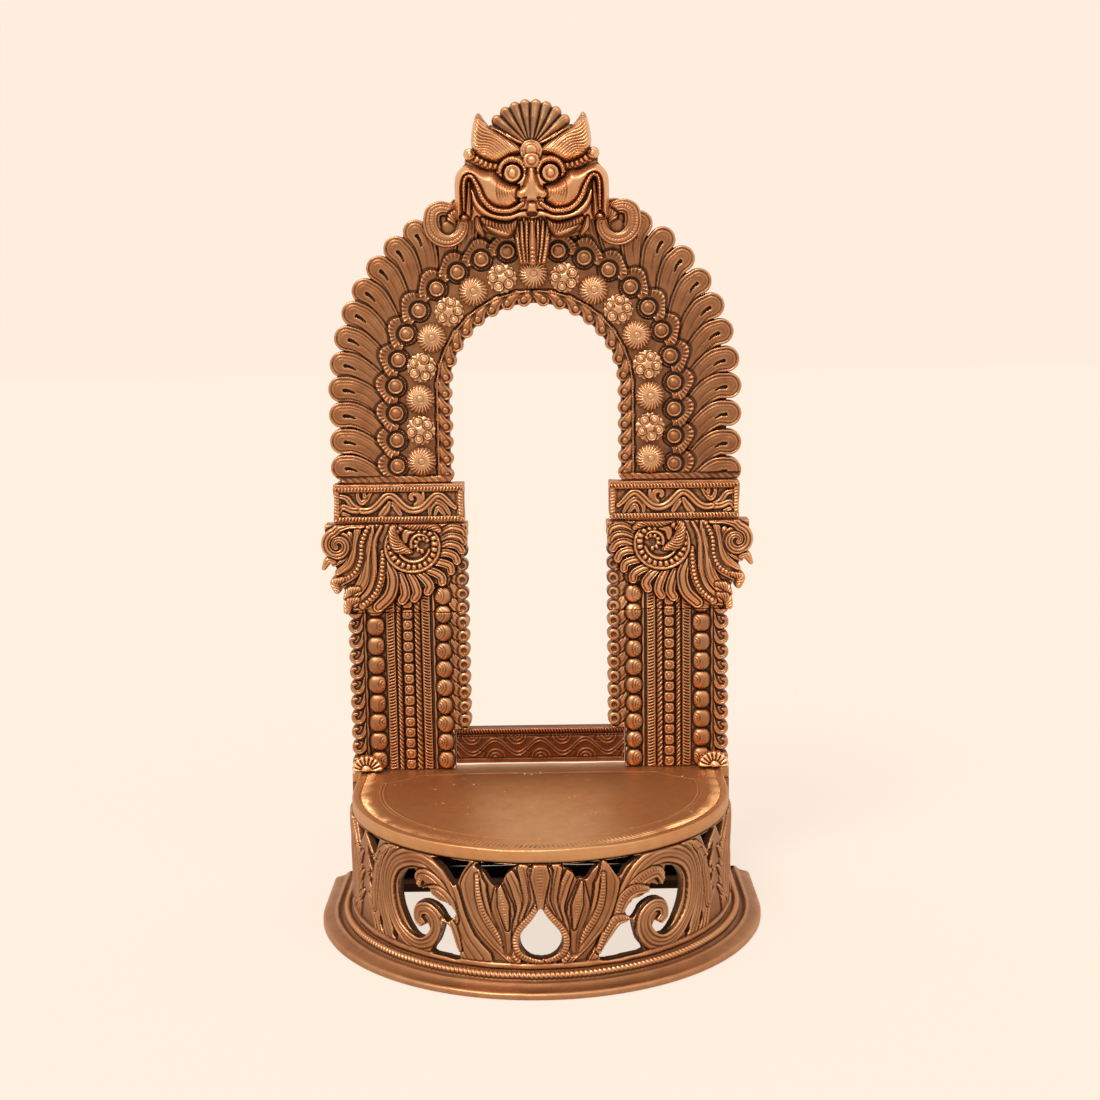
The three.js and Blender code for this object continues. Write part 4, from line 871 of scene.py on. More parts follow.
def pillar_columns(block, low, high, level):
    """The upright rows of curls, beads, ropes and ladders between two heights."""
    strip = np.maximum(np.maximum(low - block.V, block.V - high),
                       np.maximum(PILLAR_INNER + 6.4 - block.U, block.U - PILLAR_OUTER + 5.4))
    block.plate(strip, level - 0.6)

    def column(x):
        return np.array([(x, low), (x, high)])

    def places(pitch):
        """Heights of a row that is set out from the foot of the pillar, with each form's own size."""
        start = PILLAR_FOOT + pitch / 2
        first = math.ceil((low - start) / pitch - 0.6)
        return [(start + i * pitch, 1 + 0.05 * math.sin(2.4 * i + pitch)) for i in range(first, first + 22)
                if start + i * pitch < high + pitch * 0.6]

    # Round-headed curls on the inner edge
    for z, size in places(7.55):
        x = PILLAR_INNER + 3.4
        tail = curve([(x + 0.4, z - 0.6), (x + 3.6, z + 1.0), (x + 5.8, z + 4.4), (x + 6.6, z + 8.0)])
        block.stroke(tail, [2.8, 2.9, 2.6, 1.6], [1.9, 1.9, 1.6, 0.8], level=level - 0.5, form=2.6,
                     seam=0.8, grooves=pair(0.45, 0.5, 0.3))
        block.dome((x, z), (3.35, 3.35 * size), 2.0, level=level - 0.4, form=3, seam=0.8)
        block.dome((x, z), (1.5, 1.5), -1.1, level=level + 1.5, form=3, solid=False)
    # Hooks on the outer edge
    for z, size in places(8.15):
        x = PILLAR_OUTER
        hook = curve([(x - 8.6, z + 6.0), (x - 7.8, z + 1.4), (x - 5.2, z - 2.2), (x - 2.2, z - 1.6),
                      (x - 1.4, z + 1.2), (x - 3.4, z + 2.2)])
        block.dome((x - 3.9, z + 0.2), (3.8, 3.6 * size), 1.2, level=level - 0.6, seam=0.5)
        block.stroke(hook, [1.1, 1.45, 1.6, 1.5, 1.3, 0.9], [1.9, 2.2, 2.2, 2.0], level=level - 0.5,
                     form=2.4, seam=0.7, grooves=[(0.1, 0.45, 0.28)])
    for x, width, top in ((54.8, 0.75, 1.1), (91.0, 0.8, 0.9)):
        block.stroke(column(x), [width], [top], level=level - 0.2, seam=0.5, solid=False)
    for x, width, slant in ((59.0, 2.3, 0.3), (77.6, 2.3, -0.3)):
        block.stroke(column(x), [width], [1.4], level=level - 0.4, form=4, seam=0.7, solid=False,
                     ticks=(1.65, 1.15, -0.72, 0.72, slant), grooves=pair(0.78, 0.45, 0.24))
    for x, width, pitch in ((63.6, 1.75, 2.7), (73.2, 1.4, 2.3)):
        block.stroke(column(x), [width], [1.6], level=level - 0.4, seam=0.7, ticks=(pitch, 1.1, -1, 1, 0.8),
                     solid=False)
    block.stroke(column(68.5), [2.8], [0.4], level=level - 0.4, form=6, seam=0.6, solid=False)
    for z, size in places(5.8):
        block.dome((68.5, z), (2.75 * size, 2.85), 2.3, level=level - 0.2, plan=3.4, form=2.8, seam=0.5,
                   solid=False)
        block.ring((68.5, z), 1.5, 0.28, -0.6)
    # Large beads, each cut with a few arcs
    for x, pitch, width, turn in ((49.8, 9.85, 4.55, 1), (85.5, 10.35, 4.7, -1)):
        for z, size in places(pitch):
            block.dome((x, z), (width * min(size, 1.02), pitch * 0.49), 3.2, level=level - 0.4,
                       plan=2.35 - 0.15 * turn, form=2.2, seam=0.8, solid=False)
            centre = (x + turn * width * 0.75, z + 8 * (size - 1))
            for bend in ((1.3, 2.7, 4.2) if turn > 0 else (1.2, 2.6)):
                block.groove(spiral(centre, (bend, bend), (90, 270) if turn > 0 else (-90, 90), 14),
                             0.6, 0.32, (0.4, 1, 0.4))


def pillar(side):
    block = Relief((PILLAR_INNER, PILLAR_FOOT), (PILLAR_OUTER, PILLAR_TOP), 0.3)
    pillar_columns(block, PILLAR_FOOT, PILLAR_TOP + 0.1, 0.0)
    block.height += 0.1 * unevenness(block.U.shape, 6)
    block.trim(np.maximum(PILLAR_FOOT - block.V, block.V - PILLAR_TOP - 0.1))
    block.trim(np.maximum(PILLAR_INNER - block.U, block.U - PILLAR_OUTER))
    block.trim(np.minimum(RAIL_END + SEAT_GAP - block.U, RAIL_TOP + SEAT_GAP - block.V))
    add_pair_piece("pillar", side, block, (FRAME_FRONT_Y, -FRAME_THICKNESS, 0.5), ("brass", BRASS_FRAME))


# Bottom rail

RAIL_SETBACK = 1.5
WAVE_LENGTH = 24


def bottom_rail():
    half = RAIL_END
    rail = Relief((-half, RAIL_FOOT), (half, RAIL_TOP), 0.32)
    edge = np.maximum(np.abs(rail.U) - half, np.maximum(RAIL_FOOT - rail.V, rail.V - RAIL_TOP))
    rail.plate(edge, 0.0)
    top = np.array([(-half - 2, RAIL_TOP - 1.4), (half + 2, RAIL_TOP - 1.4)])
    rail.stroke(top, [1.5], [1.4], level=0.0, ticks=(1.5, 0.8, -1, 0.6, 0.3), seam=0.9, solid=False)
    rail.groove(top - [0, 3.2], 0.5, 0.3)
    rail.groove(top - [0, 15.0], 0.6, 0.35)
    middle = (RAIL_FOOT + RAIL_TOP) / 2 - 0.6
    x = np.linspace(-half - 1, half + 1, 110)
    for shift in (-0.9, 0.9):
        wave = np.column_stack([x, middle + 3.9 * np.cos(x * 2 * math.pi / WAVE_LENGTH) + shift])
        rail.groove(wave, -0.7, 0.4)
    for i in range(-2, 3):
        crest = i * WAVE_LENGTH
        for radius in (5.4, 3.2, 1.2):
            radii = (radius, radius * 0.8)
            rail.groove(spiral((crest + WAVE_LENGTH / 2, middle + 6.2), radii, (185, 355), 16), -0.6, 0.36)
            rail.groove(spiral((crest, middle - 6.4), radii, (5, 175), 16), -0.6, 0.36)
        rail.groove(curve([(crest + 6, middle + 6), (crest + 5, middle + 3.5), (crest + 8, middle + 2.4)]),
                    0.5, 0.32)
        rail.groove(curve([(crest - 6, middle - 6), (crest - 5, middle - 3.5), (crest - 8, middle - 2.0)]),
                    0.5, 0.32)
    rail.height += 0.08 * unevenness(rail.U.shape, 7)
    front = BACK_Y - RAIL_SETBACK - RAIL_THICKNESS
    built = rail.build(-RAIL_THICKNESS, upright(front), 0.5)
    # The rail's dark metal is painted shade.
    add_piece("carved_rail", built, "prabhavali", ["bottom_rail"], "brass_red", BRASS_RAIL_PAINTED_SHADE)


# Mask

MASK_HALF_WIDTH = 38.6


def draw_crest(face):
    """The fan of broad ridges over the brow."""
    middle = 386
    sector = np.hypot(face.U, face.V - middle) - 21.5
    crest = np.maximum(sector, middle + 4.5 - face.V)
    face.outside = np.minimum(face.outside, crest)
    face.height = np.where(crest < 0, 3.0, face.height)
    for side in (-1, 1):
        for turn, length in ((68.0, 21.2), (52.5, 21.0), (36.8, 20.7), (22.0, 20.5), (7.4, 20.3)):
            angle = side * math.radians(turn)
            foot = (1.6 * math.sin(angle), middle + 1.6 * math.cos(angle))
            tip = (length * math.sin(angle), middle + length * math.cos(angle))
            face.stroke(np.array([foot, tip]), [0.7, 1.7, 2.5, 2.95], [6.4, 6.2, 5.8, 4.4], level=2.4,
                        form=2.6, seam=0.6, grooves=[(0.3, 0.25, 0.5)])


def draw_half_face(face, side):
    """Brow, cheek, lips, eye and fringe of one side."""

    def line(points, per_span=8):
        return curve(sided(points, side), per_span)

    # Rope of bumps between the brow and the cheek, with a boss at its end
    face.stroke(line([(14, 376.2), (20, 376.4), (27, 379.6), (31, 382.8)]), [2.2, 2.8, 3.0],
                [5.5, 5.0, 3.6], level=3.0, seam=0.8)
    face.beads(line([(16.6, 376.6), (22, 377.6), (27, 380.2), (30, 382.0)]), 2.3, (1.25, 2.0), 2.0,
               level=7.0, seam=0.5)
    boss = (side * 30.4, 382.4)
    face.dome(boss, (3.0, 3.2), 4.4, level=4.4, seam=0.6)
    face.ring(boss, 1.7, 0.35, -0.7)
    # Cheek that runs on into the band beside it
    cheek = [(5.6, 367.4), (10.5, 368.4), (15.0, 371.0), (18.4, 374.2), (23.0, 374.6), (28.1, 376.6),
             (32.3, 377.4), (36.0, 375.4), (38.2, 371.6), (38.6, 366), (38.6, 354), (38.2, 351.0),
             (36.0, 349.8), (34.4, 351.2), (34.0, 355), (33.6, 366), (31.2, 370), (27.4, 365.6),
             (24.6, 359.6), (20, 356.0), (12.4, 354.8), (6.0, 358.2)]
    face.pillow(line(cheek, 4), 11.8, level=1.8, soft=6.0, seam=0.6)
    for k in range(7):
        radius = 3.6 + k * 1.3
        bow = spiral((6.2, 363.6), (radius, radius * 0.95), (62 - k * 2, -58 + k * 3), 16)
        face.groove(sided(bow, side), 0.95, 0.38, (0.3, 1, 1, 0.3))
    # Lower lip under the ticked line
    face.stroke(line([(0, 352.2), (4.6, 353.0), (12.2, 351.0), (20.5, 352.2), (26.6, 357.0), (29.8, 363.6),
                      (31.4, 368)]),
                [2.0, 2.1, 2.3, 2.3, 2.0, 1.7, 1.1], [8.6, 9.8, 9.8, 8.8], level=1.6, form=2.4, seam=0.6)
    # Sheath inside the loop that the ticked line makes, and the curled end of the band
    face.stroke(line([(31.0, 368.6), (31.4, 361), (32.2, 353)]), [1.0, 1.7, 1.9], [7.6, 7.0, 6.4],
                level=1.4, seam=0.6, grooves=[(0.2, 0.7, 0.3)])
    face.dome((side * 34.0, 351.8), (2.5, 1.9), 6.6, level=1.8, seam=0.6)
    lip = line([(4.6, 358.0), (8.0, 355.6), (12.2, 354.2), (19.2, 355.4), (24.2, 360.2), (26.8, 366.4),
                (29.6, 371.2), (32.4, 371.2), (33.6, 367.6), (33.8, 360), (33.9, 355)])
    face.stroke(lip, [1.3, 1.5, 1.6, 1.6, 1.3, 1.0, 0.6], [11.4, 12.2, 12.0, 11.4, 10.4, 8.6], level=1.2,
                form=2.8, seam=0.6, ticks=(1.7, 1.2, -0.6, 0.6, 0), grooves=pair(0.72, 0.4, 0.22))
    # Fringe of hair under the lip, with the bud beside it
    fringe = [(6.6, 351.6), (12, 349.8), (18, 350.6), (24.6, 352.6), (26.2, 350.0), (22.4, 345.2),
              (16.7, 342.0), (11.3, 341.8), (8.0, 345.8)]
    face.pillow(line(fringe, 4), 6.8, level=1.4, soft=2.4, seam=0.6)
    for k in range(11):
        foot = (8.4 + k * 1.6, 350.0 + k * 0.14)
        face.groove(line([foot, (foot[0] + 0.6, foot[1] - 3.4), (foot[0] - 1.0, foot[1] - 8.4 + k * 0.5)]),
                    1.3, 0.38, (0.6, 1, 0.9))
    face.stroke(line([(27.6, 351.0), (26.8, 346.6), (24.8, 343.2)]), [1.4, 2.1, 1.2], [5.2], level=1.2,
                seam=0.6, grooves=[(0.3, 0.6, 0.3), (-0.4, 0.6, 0.3)])
    # Brow leaf with its feather lines
    brow = [(4.0, 382.2), (5.4, 386.0), (12.2, 390.2), (19.0, 394.6), (23.0, 399.0), (25.4, 402.4),
            (27.6, 401.0), (29.4, 394.4), (29.8, 386.4), (26.4, 381.6), (21.4, 379.0), (16.3, 378.0),
            (10.2, 381.0)]
    face.pillow(line(brow, 4), 10.2, level=2.4, soft=3.2, seam=0.7)
    for k in range(11):
        t = k / 10
        foot = np.array([5.6 + 12.6 * t, 385.2 - 5.8 * t])
        tip = np.array([26.4 + 3.2 * t, 401.0 - 17.5 * t])
        bow = foot * 0.6 + tip * 0.4 + np.array([0.2, 1.7])
        dip = foot * 0.22 + tip * 0.78 + np.array([0.6, -0.5])
        face.groove(line([foot, bow, dip, tip]), 1.0, 0.33, (0.5, 1, 1))
    # Eye: ball, iris and ticked lid
    eye = (side * 9.4, 372.8)
    face.dome(eye, (5.4, 5.2), 10.4, level=1.8, form=3.0, seam=0.45)
    lid = (eye[0], eye[1] + 0.4)
    face.stroke(spiral(lid, (6.3, 6.3), (2, 178), 24), [0.9, 1.5, 0.9], [2.6], level=10.8, seam=0.5,
                ticks=(1.4, 1.1, -1, 1, 0))
    face.ring(eye, 3.9, 0.5, 0.7)
    face.ring(eye, 4.8, 0.4, -0.7)
    face.dome(eye, (2.3, 2.5), 2.6, level=10.8, seam=0.7)


def draw_beard(face):
    """Strands that draw together under the mouth."""
    for lean in (-1, -0.68, -0.36, 0.36, 0.68, 1):
        drawn = [(lean * 8.0, 350.0), (lean * 7.2, 340), (lean * 5.4, 329.6)]
        top = 6.4 - abs(lean) * 2.0
        face.stroke(curve(drawn), [1.1, 1.5, 1.4], [top, top, top - 1.2], level=1.2, form=2.4, seam=0.7,
                    ticks=(1.5, 0.4, -1, 1, 0.4))
    face.stroke(np.array([(0, 350.5), (0, 329.6)]), [1.2, 1.9, 2.0], [7.2, 7.4, 6.6], level=0.8, form=3,
                seam=0.9, grooves=pair(0.5, 0.5, 0.28))
    face.beads(np.array([(0, 337), (0, 329.0)]), 2.0, (1.0, 1.5), 1.3, level=6.6)


def mask():
    face = Relief((-40, 324.7), (40, 410.7), 0.3)
    half = [(0, 391), (14, 391), (26, 387), (31, 385), (33.2, 381), (33.4, 378), (36.6, 374.6), (38.2, 371),
            (38.4, 366), (38.4, 352), (33, 350), (28.6, 350), (25, 343), (16, 341.5), (9, 340), (6.6, 330),
            (0, 328.6)]
    face.plate(outline_distance(face.U, face.V, np.array(half + [(-x, z) for x, z in half[::-1]])), 2.6)
    draw_crest(face)
    core = ((face.U / 33) ** 4 + ((face.V - 366) / 23) ** 4) ** 0.25
    face.height = np.maximum(face.height, 2.6 + 8.4 * np.sqrt(np.clip(1 - core**2, 0, 1)) * (face.V < 384))
    draw_beard(face)
    for side in (-1, 1):
        draw_half_face(face, side)

    # Nose: a ridge that widens into two round wings over the nostrils
    nose = [(-1.5, 376.0), (1.5, 376.0), (2.6, 370.0), (4.4, 366.0), (6.9, 364.4), (7.4, 362.0),
            (5.6, 360.4), (2.6, 360.8), (0, 359.2), (-2.6, 360.8), (-5.6, 360.4), (-7.4, 362.0),
            (-6.9, 364.4), (-4.4, 366.0), (-2.6, 370.0)]
    face.pillow(curve(nose, 4), 5.2, level=9.0, soft=2.6, seam=0.8)
    face.stroke(curve([(0, 376), (0, 369), (0, 362.4)]), [1.2, 2.5, 4.7], [6.4, 6.8, 5.6], level=8.8,
                cover=False)
    for side in (-1, 1):
        face.dome((side * 4.6, 362.3), (2.9, 2.0), 2.0, level=11.2, form=2.4, seam=0.1, cover=False)
        face.dome((side * 3.4, 360.6), (1.1, 0.7), -1.6, level=11.4)
        face.groove(curve([(side * 3.6, 366.2), (side * 5.4, 366.0), (side * 7.0, 364.8)]), 1.2, 0.36)
    face.dome((0, 355.9), (2.6, 3.4), 2.6, level=8.8, plan=3, seam=0.8)
    face.dome((0, 352.6), (2.7, 1.2), -3.0, level=8.6, seam=0.8)
    # Arches and jewel over the nose
    for radius in (4.8, 3.5, 2.2):
        face.dome((0, 383.4), (radius + 0.6, radius + 0.6), 1.0, level=11.4 - radius * 0.3, form=4,
                  seam=0.6)
    face.dome((0, 378.6), (4.0, 3.6), 2.2, level=9.8, form=4, plan=3, seam=0.8)
    face.dome((0.2, 378.8), (2.2, 2.2), 1.9, level=11.6, seam=0.6)
    face.height += 0.1 * unevenness(face.U.shape, 5)
    face.height = np.minimum(face.height, MASK_DEPTH - 0.3)
    face.trim(np.abs(face.U) - MASK_HALF_WIDTH)
    # The tip of the beard hangs over the crown rosette
    over_rosette = SPRINGING + CROWN_LIFT + ROSETTE_ORBIT + ROSETTE_SIZE + 0.5
    back = np.where(face.V < over_rosette, 1.9, 0.0)
    points, triangles, quads, worn = face.build(back, upright(MASK_BACK_Y), 0.8)
    # The crest and the beard keep more of their patina, on the front only
    crest = points[:, 2] > 387 + 0.45 * np.abs(points[:, 0])
    worn = worn - (points[:, 1] < MASK_BACK_Y - 0.2) * (1.7 * crest + 0.7 * (points[:, 2] < 351))
    # The mask's lighter metal is painted light.
    add_piece("carved_mask", (points, triangles, quads, worn), "prabhavali", ["kirtimukha_mask"], "brass",
              BRASS_MASK_PAINTED_LIGHT)


# Curls beside the mask

CURL_CENTRE = (43.5, SPRINGING + 85)


def curl(side):
    scroll = Relief((29, SPRINGING + 71), (57, SPRINGING + 99), 0.28)
    x, z = CURL_CENTRE
    scroll.plate(np.hypot(scroll.U - x, scroll.V - z - 0.6) - 9.4, 0.9)
    band = np.vstack([spiral((x - 1.2, z + 1.4), (7.4, 8.4), (186, 362), 40),
                      curve([(x + 7.2, z + 3.4), (x + 6.2, z + 7.0), (x + 2.6, z + 9.0),
                             (x - 1.4, z + 8.6)])])
    scroll.stroke(band, [3.0, 4.2, 4.6, 4.2, 3.2], [2.6, 3.4, 3.4, 2.6], form=3.4, level=0.6, seam=0.8,
                  grooves=[(0.72, 1.0, 0.36), (-0.66, 0.8, 0.34), (0.36, 0.4, 0.3), (-0.2, 0.4, 0.3)],
                  ticks=(1.3, 0.2, -0.5, 0.2, 0))
    scroll.stroke(curve([(x - 6.4, z + 7.6), (x - 3.4, z + 5.0), (x - 3.0, z + 0.4)]), [1.4, 2.8, 2.4],
                  [2.0, 2.4, 1.8], level=0.8, seam=0.7, ticks=(1.5, 0.6, -1, 1, 0.5))
    scroll.dome((x - 1.0, z - 1.0), (3.6, 3.4), 0.7, level=0.5, seam=0.4)
    scroll.height += 0.06 * unevenness(scroll.U.shape, 5)
    add_pair_piece("curl", side, scroll, (MASK_BACK_Y, 0.0, 0.6), ("brass", BRASS))


# Shells at the feet of the pillars

SHELL_CENTRE = (91.4, PILLAR_FOOT + 1)
SHELL_BACK_Y = 65.7


def shell(side):
    fan = Relief((80, PILLAR_FOOT), (101, PILLAR_FOOT + 12), 0.28)
    x, z = SHELL_CENTRE
    ridges = 9
    for i in range(ridges):
        angle = math.pi * (i + 0.5) / ridges
        tip = (x + 7.0 * math.cos(angle), z + 7.0 * math.sin(angle))
        fan.stroke(np.array([(x + 1.8 * math.cos(angle), z + 1.8 * math.sin(angle)), tip]),
                   [0.5, 1.1, 1.55], [3.0, 3.4, 2.8], level=1.2, seam=1.0)
    fan.dome((x + 0.6, z + 1.2), (2.6, 2.2), 2.6, level=2.4, seam=0.8)
    fan.ring((x + 0.6, z + 1.2), 1.2, 0.3, -0.4)
    fan.plate(np.maximum(np.hypot(fan.U - x, fan.V - z) - 6.0, z - fan.V))
    fan.trim(z - fan.V)
    fan.trim(np.hypot(fan.U - x, fan.V - z) - 8.6)
    add_pair_piece("shell", side, fan, (SHELL_BACK_Y, 0.0, 0.5), ("brass_bright", BRASS_BRIGHT))


# Base plan

QUARTER = math.pi / 2 * DRUM_RADIUS


def wall_place(s, z, out):
    """Places (distance along the wall, height, outward offset) round the D-shaped plan."""
    angle = np.clip(s / DRUM_RADIUS, -math.pi / 2, math.pi / 2)
    past = np.maximum(0, np.abs(s) - QUARTER)
    reach = DRUM_RADIUS + out
    return reach * np.sin(angle), PLAN_CENTRE_Y - reach * np.cos(angle) + past, z + 0 * s


def plan_inset(x, y):
    """How far a point lies inside the D-shaped plan."""
    bow = DRUM_RADIUS - np.hypot(x, y - PLAN_CENTRE_Y)
    return np.where(y > PLAN_CENTRE_Y, DRUM_RADIUS - np.abs(x), bow)


# Seat

FLUTE_PITCH = 2.35
FLUTE_OUTER = 3.9
FLUTE_INNER = 9.6
LINE_RADIUS = 80.5


def seat():
    plate = Relief((-HALF_BACK, -62), (HALF_BACK, BACK_Y), 0.42, SEAT_HEIGHT)
    inset = plan_inset(plate.U, plate.V)
    back_bar = np.maximum(np.abs(plate.U) - HALF_BACK, np.maximum(POST_FRONT_Y - plate.V, plate.V - BACK_Y))
    plate.plate(np.minimum(np.maximum(-inset, plate.V - POST_FRONT_Y - 1), back_bar))
    plate.height += 0.10 * unevenness(plate.U.shape, 16)
    # Ring of flutes inside a flat rim, open at the back
    along = np.where(plate.V > PLAN_CENTRE_Y, plate.V - PLAN_CENTRE_Y,
                     -DRUM_RADIUS * np.arctan2(PLAN_CENTRE_Y - plate.V, np.abs(plate.U) + 1e-6))
    open_front = plate.V < 62
    lean = 0.35 * (inset - 7)
    wave = 0.5 + 0.5 * np.cos(2 * math.pi * (along + lean) / FLUTE_PITCH)
    uneven = 1 + 0.35 * unevenness(plate.U.shape, 5)
    ring = np.clip((inset - FLUTE_OUTER) / 0.4, 0, 1) * np.clip((FLUTE_INNER - inset) / 4.6, 0, 1)
    plate.height -= (0.2 + 1.5 * wave**2) * ring * open_front * uneven
    # Raised and engraved line in the shape of a D
    engraved = [(0, 59.6), (40, 59.2), (61, 58.0), (66, 54.2), (71, 49.0), (76, 45.8), (80.2, 43.6),
                (LINE_RADIUS, 39)]
    arc = [(LINE_RADIUS * math.cos(a), PLAN_CENTRE_Y - LINE_RADIUS * math.sin(a))
           for a in np.linspace(0, math.pi / 2, 24)]
    for side in (-1, 1):
        line = sided(engraved + arc, side)
        plate.groove(line, -0.55, 0.9)
        plate.groove(line, 0.75, 0.4)
    # Small dents and scratches
    for _ in range(60):
        x, y = rng.uniform(-90, 90), rng.uniform(-55, 62)
        size = rng.uniform(0.3, 0.9)
        if plan_inset(x, y) > 1.5:
            plate.dome((x, y), (size, size * 0.7), -0.7, level=SEAT_HEIGHT - 0.1, solid=False)
    for _ in range(30):
        x, y = rng.uniform(-70, 70), rng.uniform(-35, 60)
        turn, length = rng.uniform(-0.4, 0.4), rng.uniform(4, 18)
        scratch = np.array([(x, y), (x + length * math.cos(turn), y + length * math.sin(turn))])
        plate.groove(scratch, 0.14, 0.4, (0.2, 1, 0.2))
    rim = (inset < RIM_WIDTH) | (plate.V > POST_FRONT_Y)
    back = np.where(rim, SEAT_HEIGHT - RIM_HEIGHT, SEAT_HEIGHT - SEAT_THICKNESS)
    # The back edge rests on the panel
    back = np.where(plate.V > POST_FRONT_Y, back - 0.5, back)
    # The seat's sides and underside take the value -1.3, growing with depth: painted shade under the seat.
    points, triangles, quads, worn = plate.build(back, flat, 0.7, -1.3, 12)
    # An even, lighter value along the rim's top outer edge, for one unbroken bright line: a painted
    # highlight.
    edge = (plan_inset(points[:, 0], points[:, 1]) < 1.5) & (points[:, 2] > SEAT_HEIGHT - 3)
    worn = np.where(edge, 0.12, worn)
    # The seat's lighter metal is painted light.
    add_piece("worn_seat", (points, triangles, quads, worn), "base", ["seat_plate"], "brass", BRASS_SEAT_PAINTED_LIGHT)


# Foot

def swept(sections, stations, worn):
    """A closed section carried along the D-shaped plan."""
    count = len(worn)
    rings = [np.column_stack(wall_place(np.full(count, s), up, out))
             for s, (out, up) in zip(stations, sections)]
    points = np.vstack(rings)
    values = np.tile(worn, len(stations))
    index = np.arange(len(stations) * count).reshape(len(stations), count)
    a, b = index[:-1], index[1:]
    quads = np.stack([a, np.roll(a, -1, axis=1), np.roll(b, -1, axis=1), b], axis=-1).reshape(-1, 4)
    return points, values, quads, index


FOOT_SECTION = [
    (-14.0, 0.0), (16.1, 0.0), (16.5, 0.5), (16.5, 2.2), (16.1, 2.9), (14.9, 3.1), (13.4, 3.4), (12.0, 3.9),
    (11.0, 4.4), (10.3, 5.1), (9.5, 5.45), (8.7, 5.3), (8.1, 4.6), (7.3, 4.1), (6.6, 4.1), (5.9, 4.7)]
FOOT_INNER_SECTION = [(1.6, 7.4), (1.0, 7.8), (-6.8, 7.8), (-7.0, 7.6), (-7.0, 3.2), (-7.2, 3.0),
                      (-13.8, 3.0), (-14.0, 2.8)]
ROPE_CENTRE = (3.8, 6.1)
ROPE_RADIUS = 2.05
ROPE_PITCH = 2.1
ROPE_SIDES = 18
CORNER = 4.5
FOOT_BAR = 20


def foot():
    end = QUARTER + BACK_Y - PLAN_CENTRE_Y
    step = 0.35 * COARSE
    stations = np.linspace(-end, end, int(2 * end / step))
    angles = np.linspace(math.radians(-38), math.radians(150), ROPE_SIDES)
    hills = np.interp(stations, np.linspace(-end, end, 60), rng.uniform(-0.12, 0.12, 60))
    sections = []
    for s, hill in zip(stations, hills):
        strand = np.abs(np.sin(math.pi * s / ROPE_PITCH + 1.1 * (angles - 1.0)))
        radius = ROPE_RADIUS - 0.6 * (1 - strand) ** 1.3
        rope = np.column_stack([ROPE_CENTRE[0] + radius * np.cos(angles),
                                ROPE_CENTRE[1] + radius * np.sin(angles)])
        out, up = np.vstack([FOOT_SECTION, rope, FOOT_INNER_SECTION]).T
        rounded = np.clip((end - abs(s)) / CORNER, 0, 1)
        shrink = CORNER * (1 - math.sqrt(1 - (1 - rounded) ** 2))
        out = np.where(out > 8, out - shrink * np.clip((out - 8) / 8, 0, 1) * 0.9, out)
        sections.append((out, up + np.where(up > 0.3, hill, 0)))
    worn = [0, 0, 0.1, 0.25, 0.4, 0.1, -0.1, -0.2, -0.25, 0.15, 0.35, 0.1, -0.4, -0.6, -0.6, -0.4]
    rope_worn = list(np.interp(angles, [angles[0], 0.3, 0.9, 1.6, angles[-1]], [-0.6, 0.2, 0.5, 0.4, -0.4]))
    worn = np.array(worn + rope_worn + [-0.7, -0.1] + [0] * (len(FOOT_INNER_SECTION) - 2))
    points, values, quads, index = swept(sections, stations, worn)
    caps = []
    for ring, turn in ((index[0], -1), (index[-1], 1)):
        middle = len(points)
        points = np.vstack([points, points[ring].mean(axis=0)])
        values = np.append(values, 0)
        caps.append(np.column_stack([ring, np.roll(ring, -1), np.full(len(ring), middle)])[:, ::turn])
    add_piece("worn_foot", (points, np.vstack(caps), quads, values), "base", ["foot_plinth"], "brass",
              BRASS_FOOT)
    side = DRUM_RADIUS - FOOT_INNER / 2
    bar = Relief((-side - 1, BACK_Y - FOOT_BAR), (side + 1, BACK_Y), 0.8)
    bar.plate(np.maximum(np.abs(bar.U) - side - 1, np.abs(bar.V - BACK_Y + FOOT_BAR / 2) - FOOT_BAR / 2),
              FOOT_TOP)
    bar.height += 0.1 * unevenness(bar.U.shape, 6)
    # The foot bar takes the near-black inner metal: painted shade inside the base.
    add_piece("foot_bar_painted_shade", bar.build(0.0, flat, 0.6), "base", ["foot_plinth"],
              "brass_dark", BRASS_INNER_PAINTED_SHADE)


# Pierced wall

SIDE_MIRROR = 104.5


def far_side(points, turn):
    """The pattern repeats, mirrored, round the side of the wall."""
    placed = sided(points, turn)
    placed[:, 0] = turn * 2 * SIDE_MIRROR - placed[:, 0]
    return placed


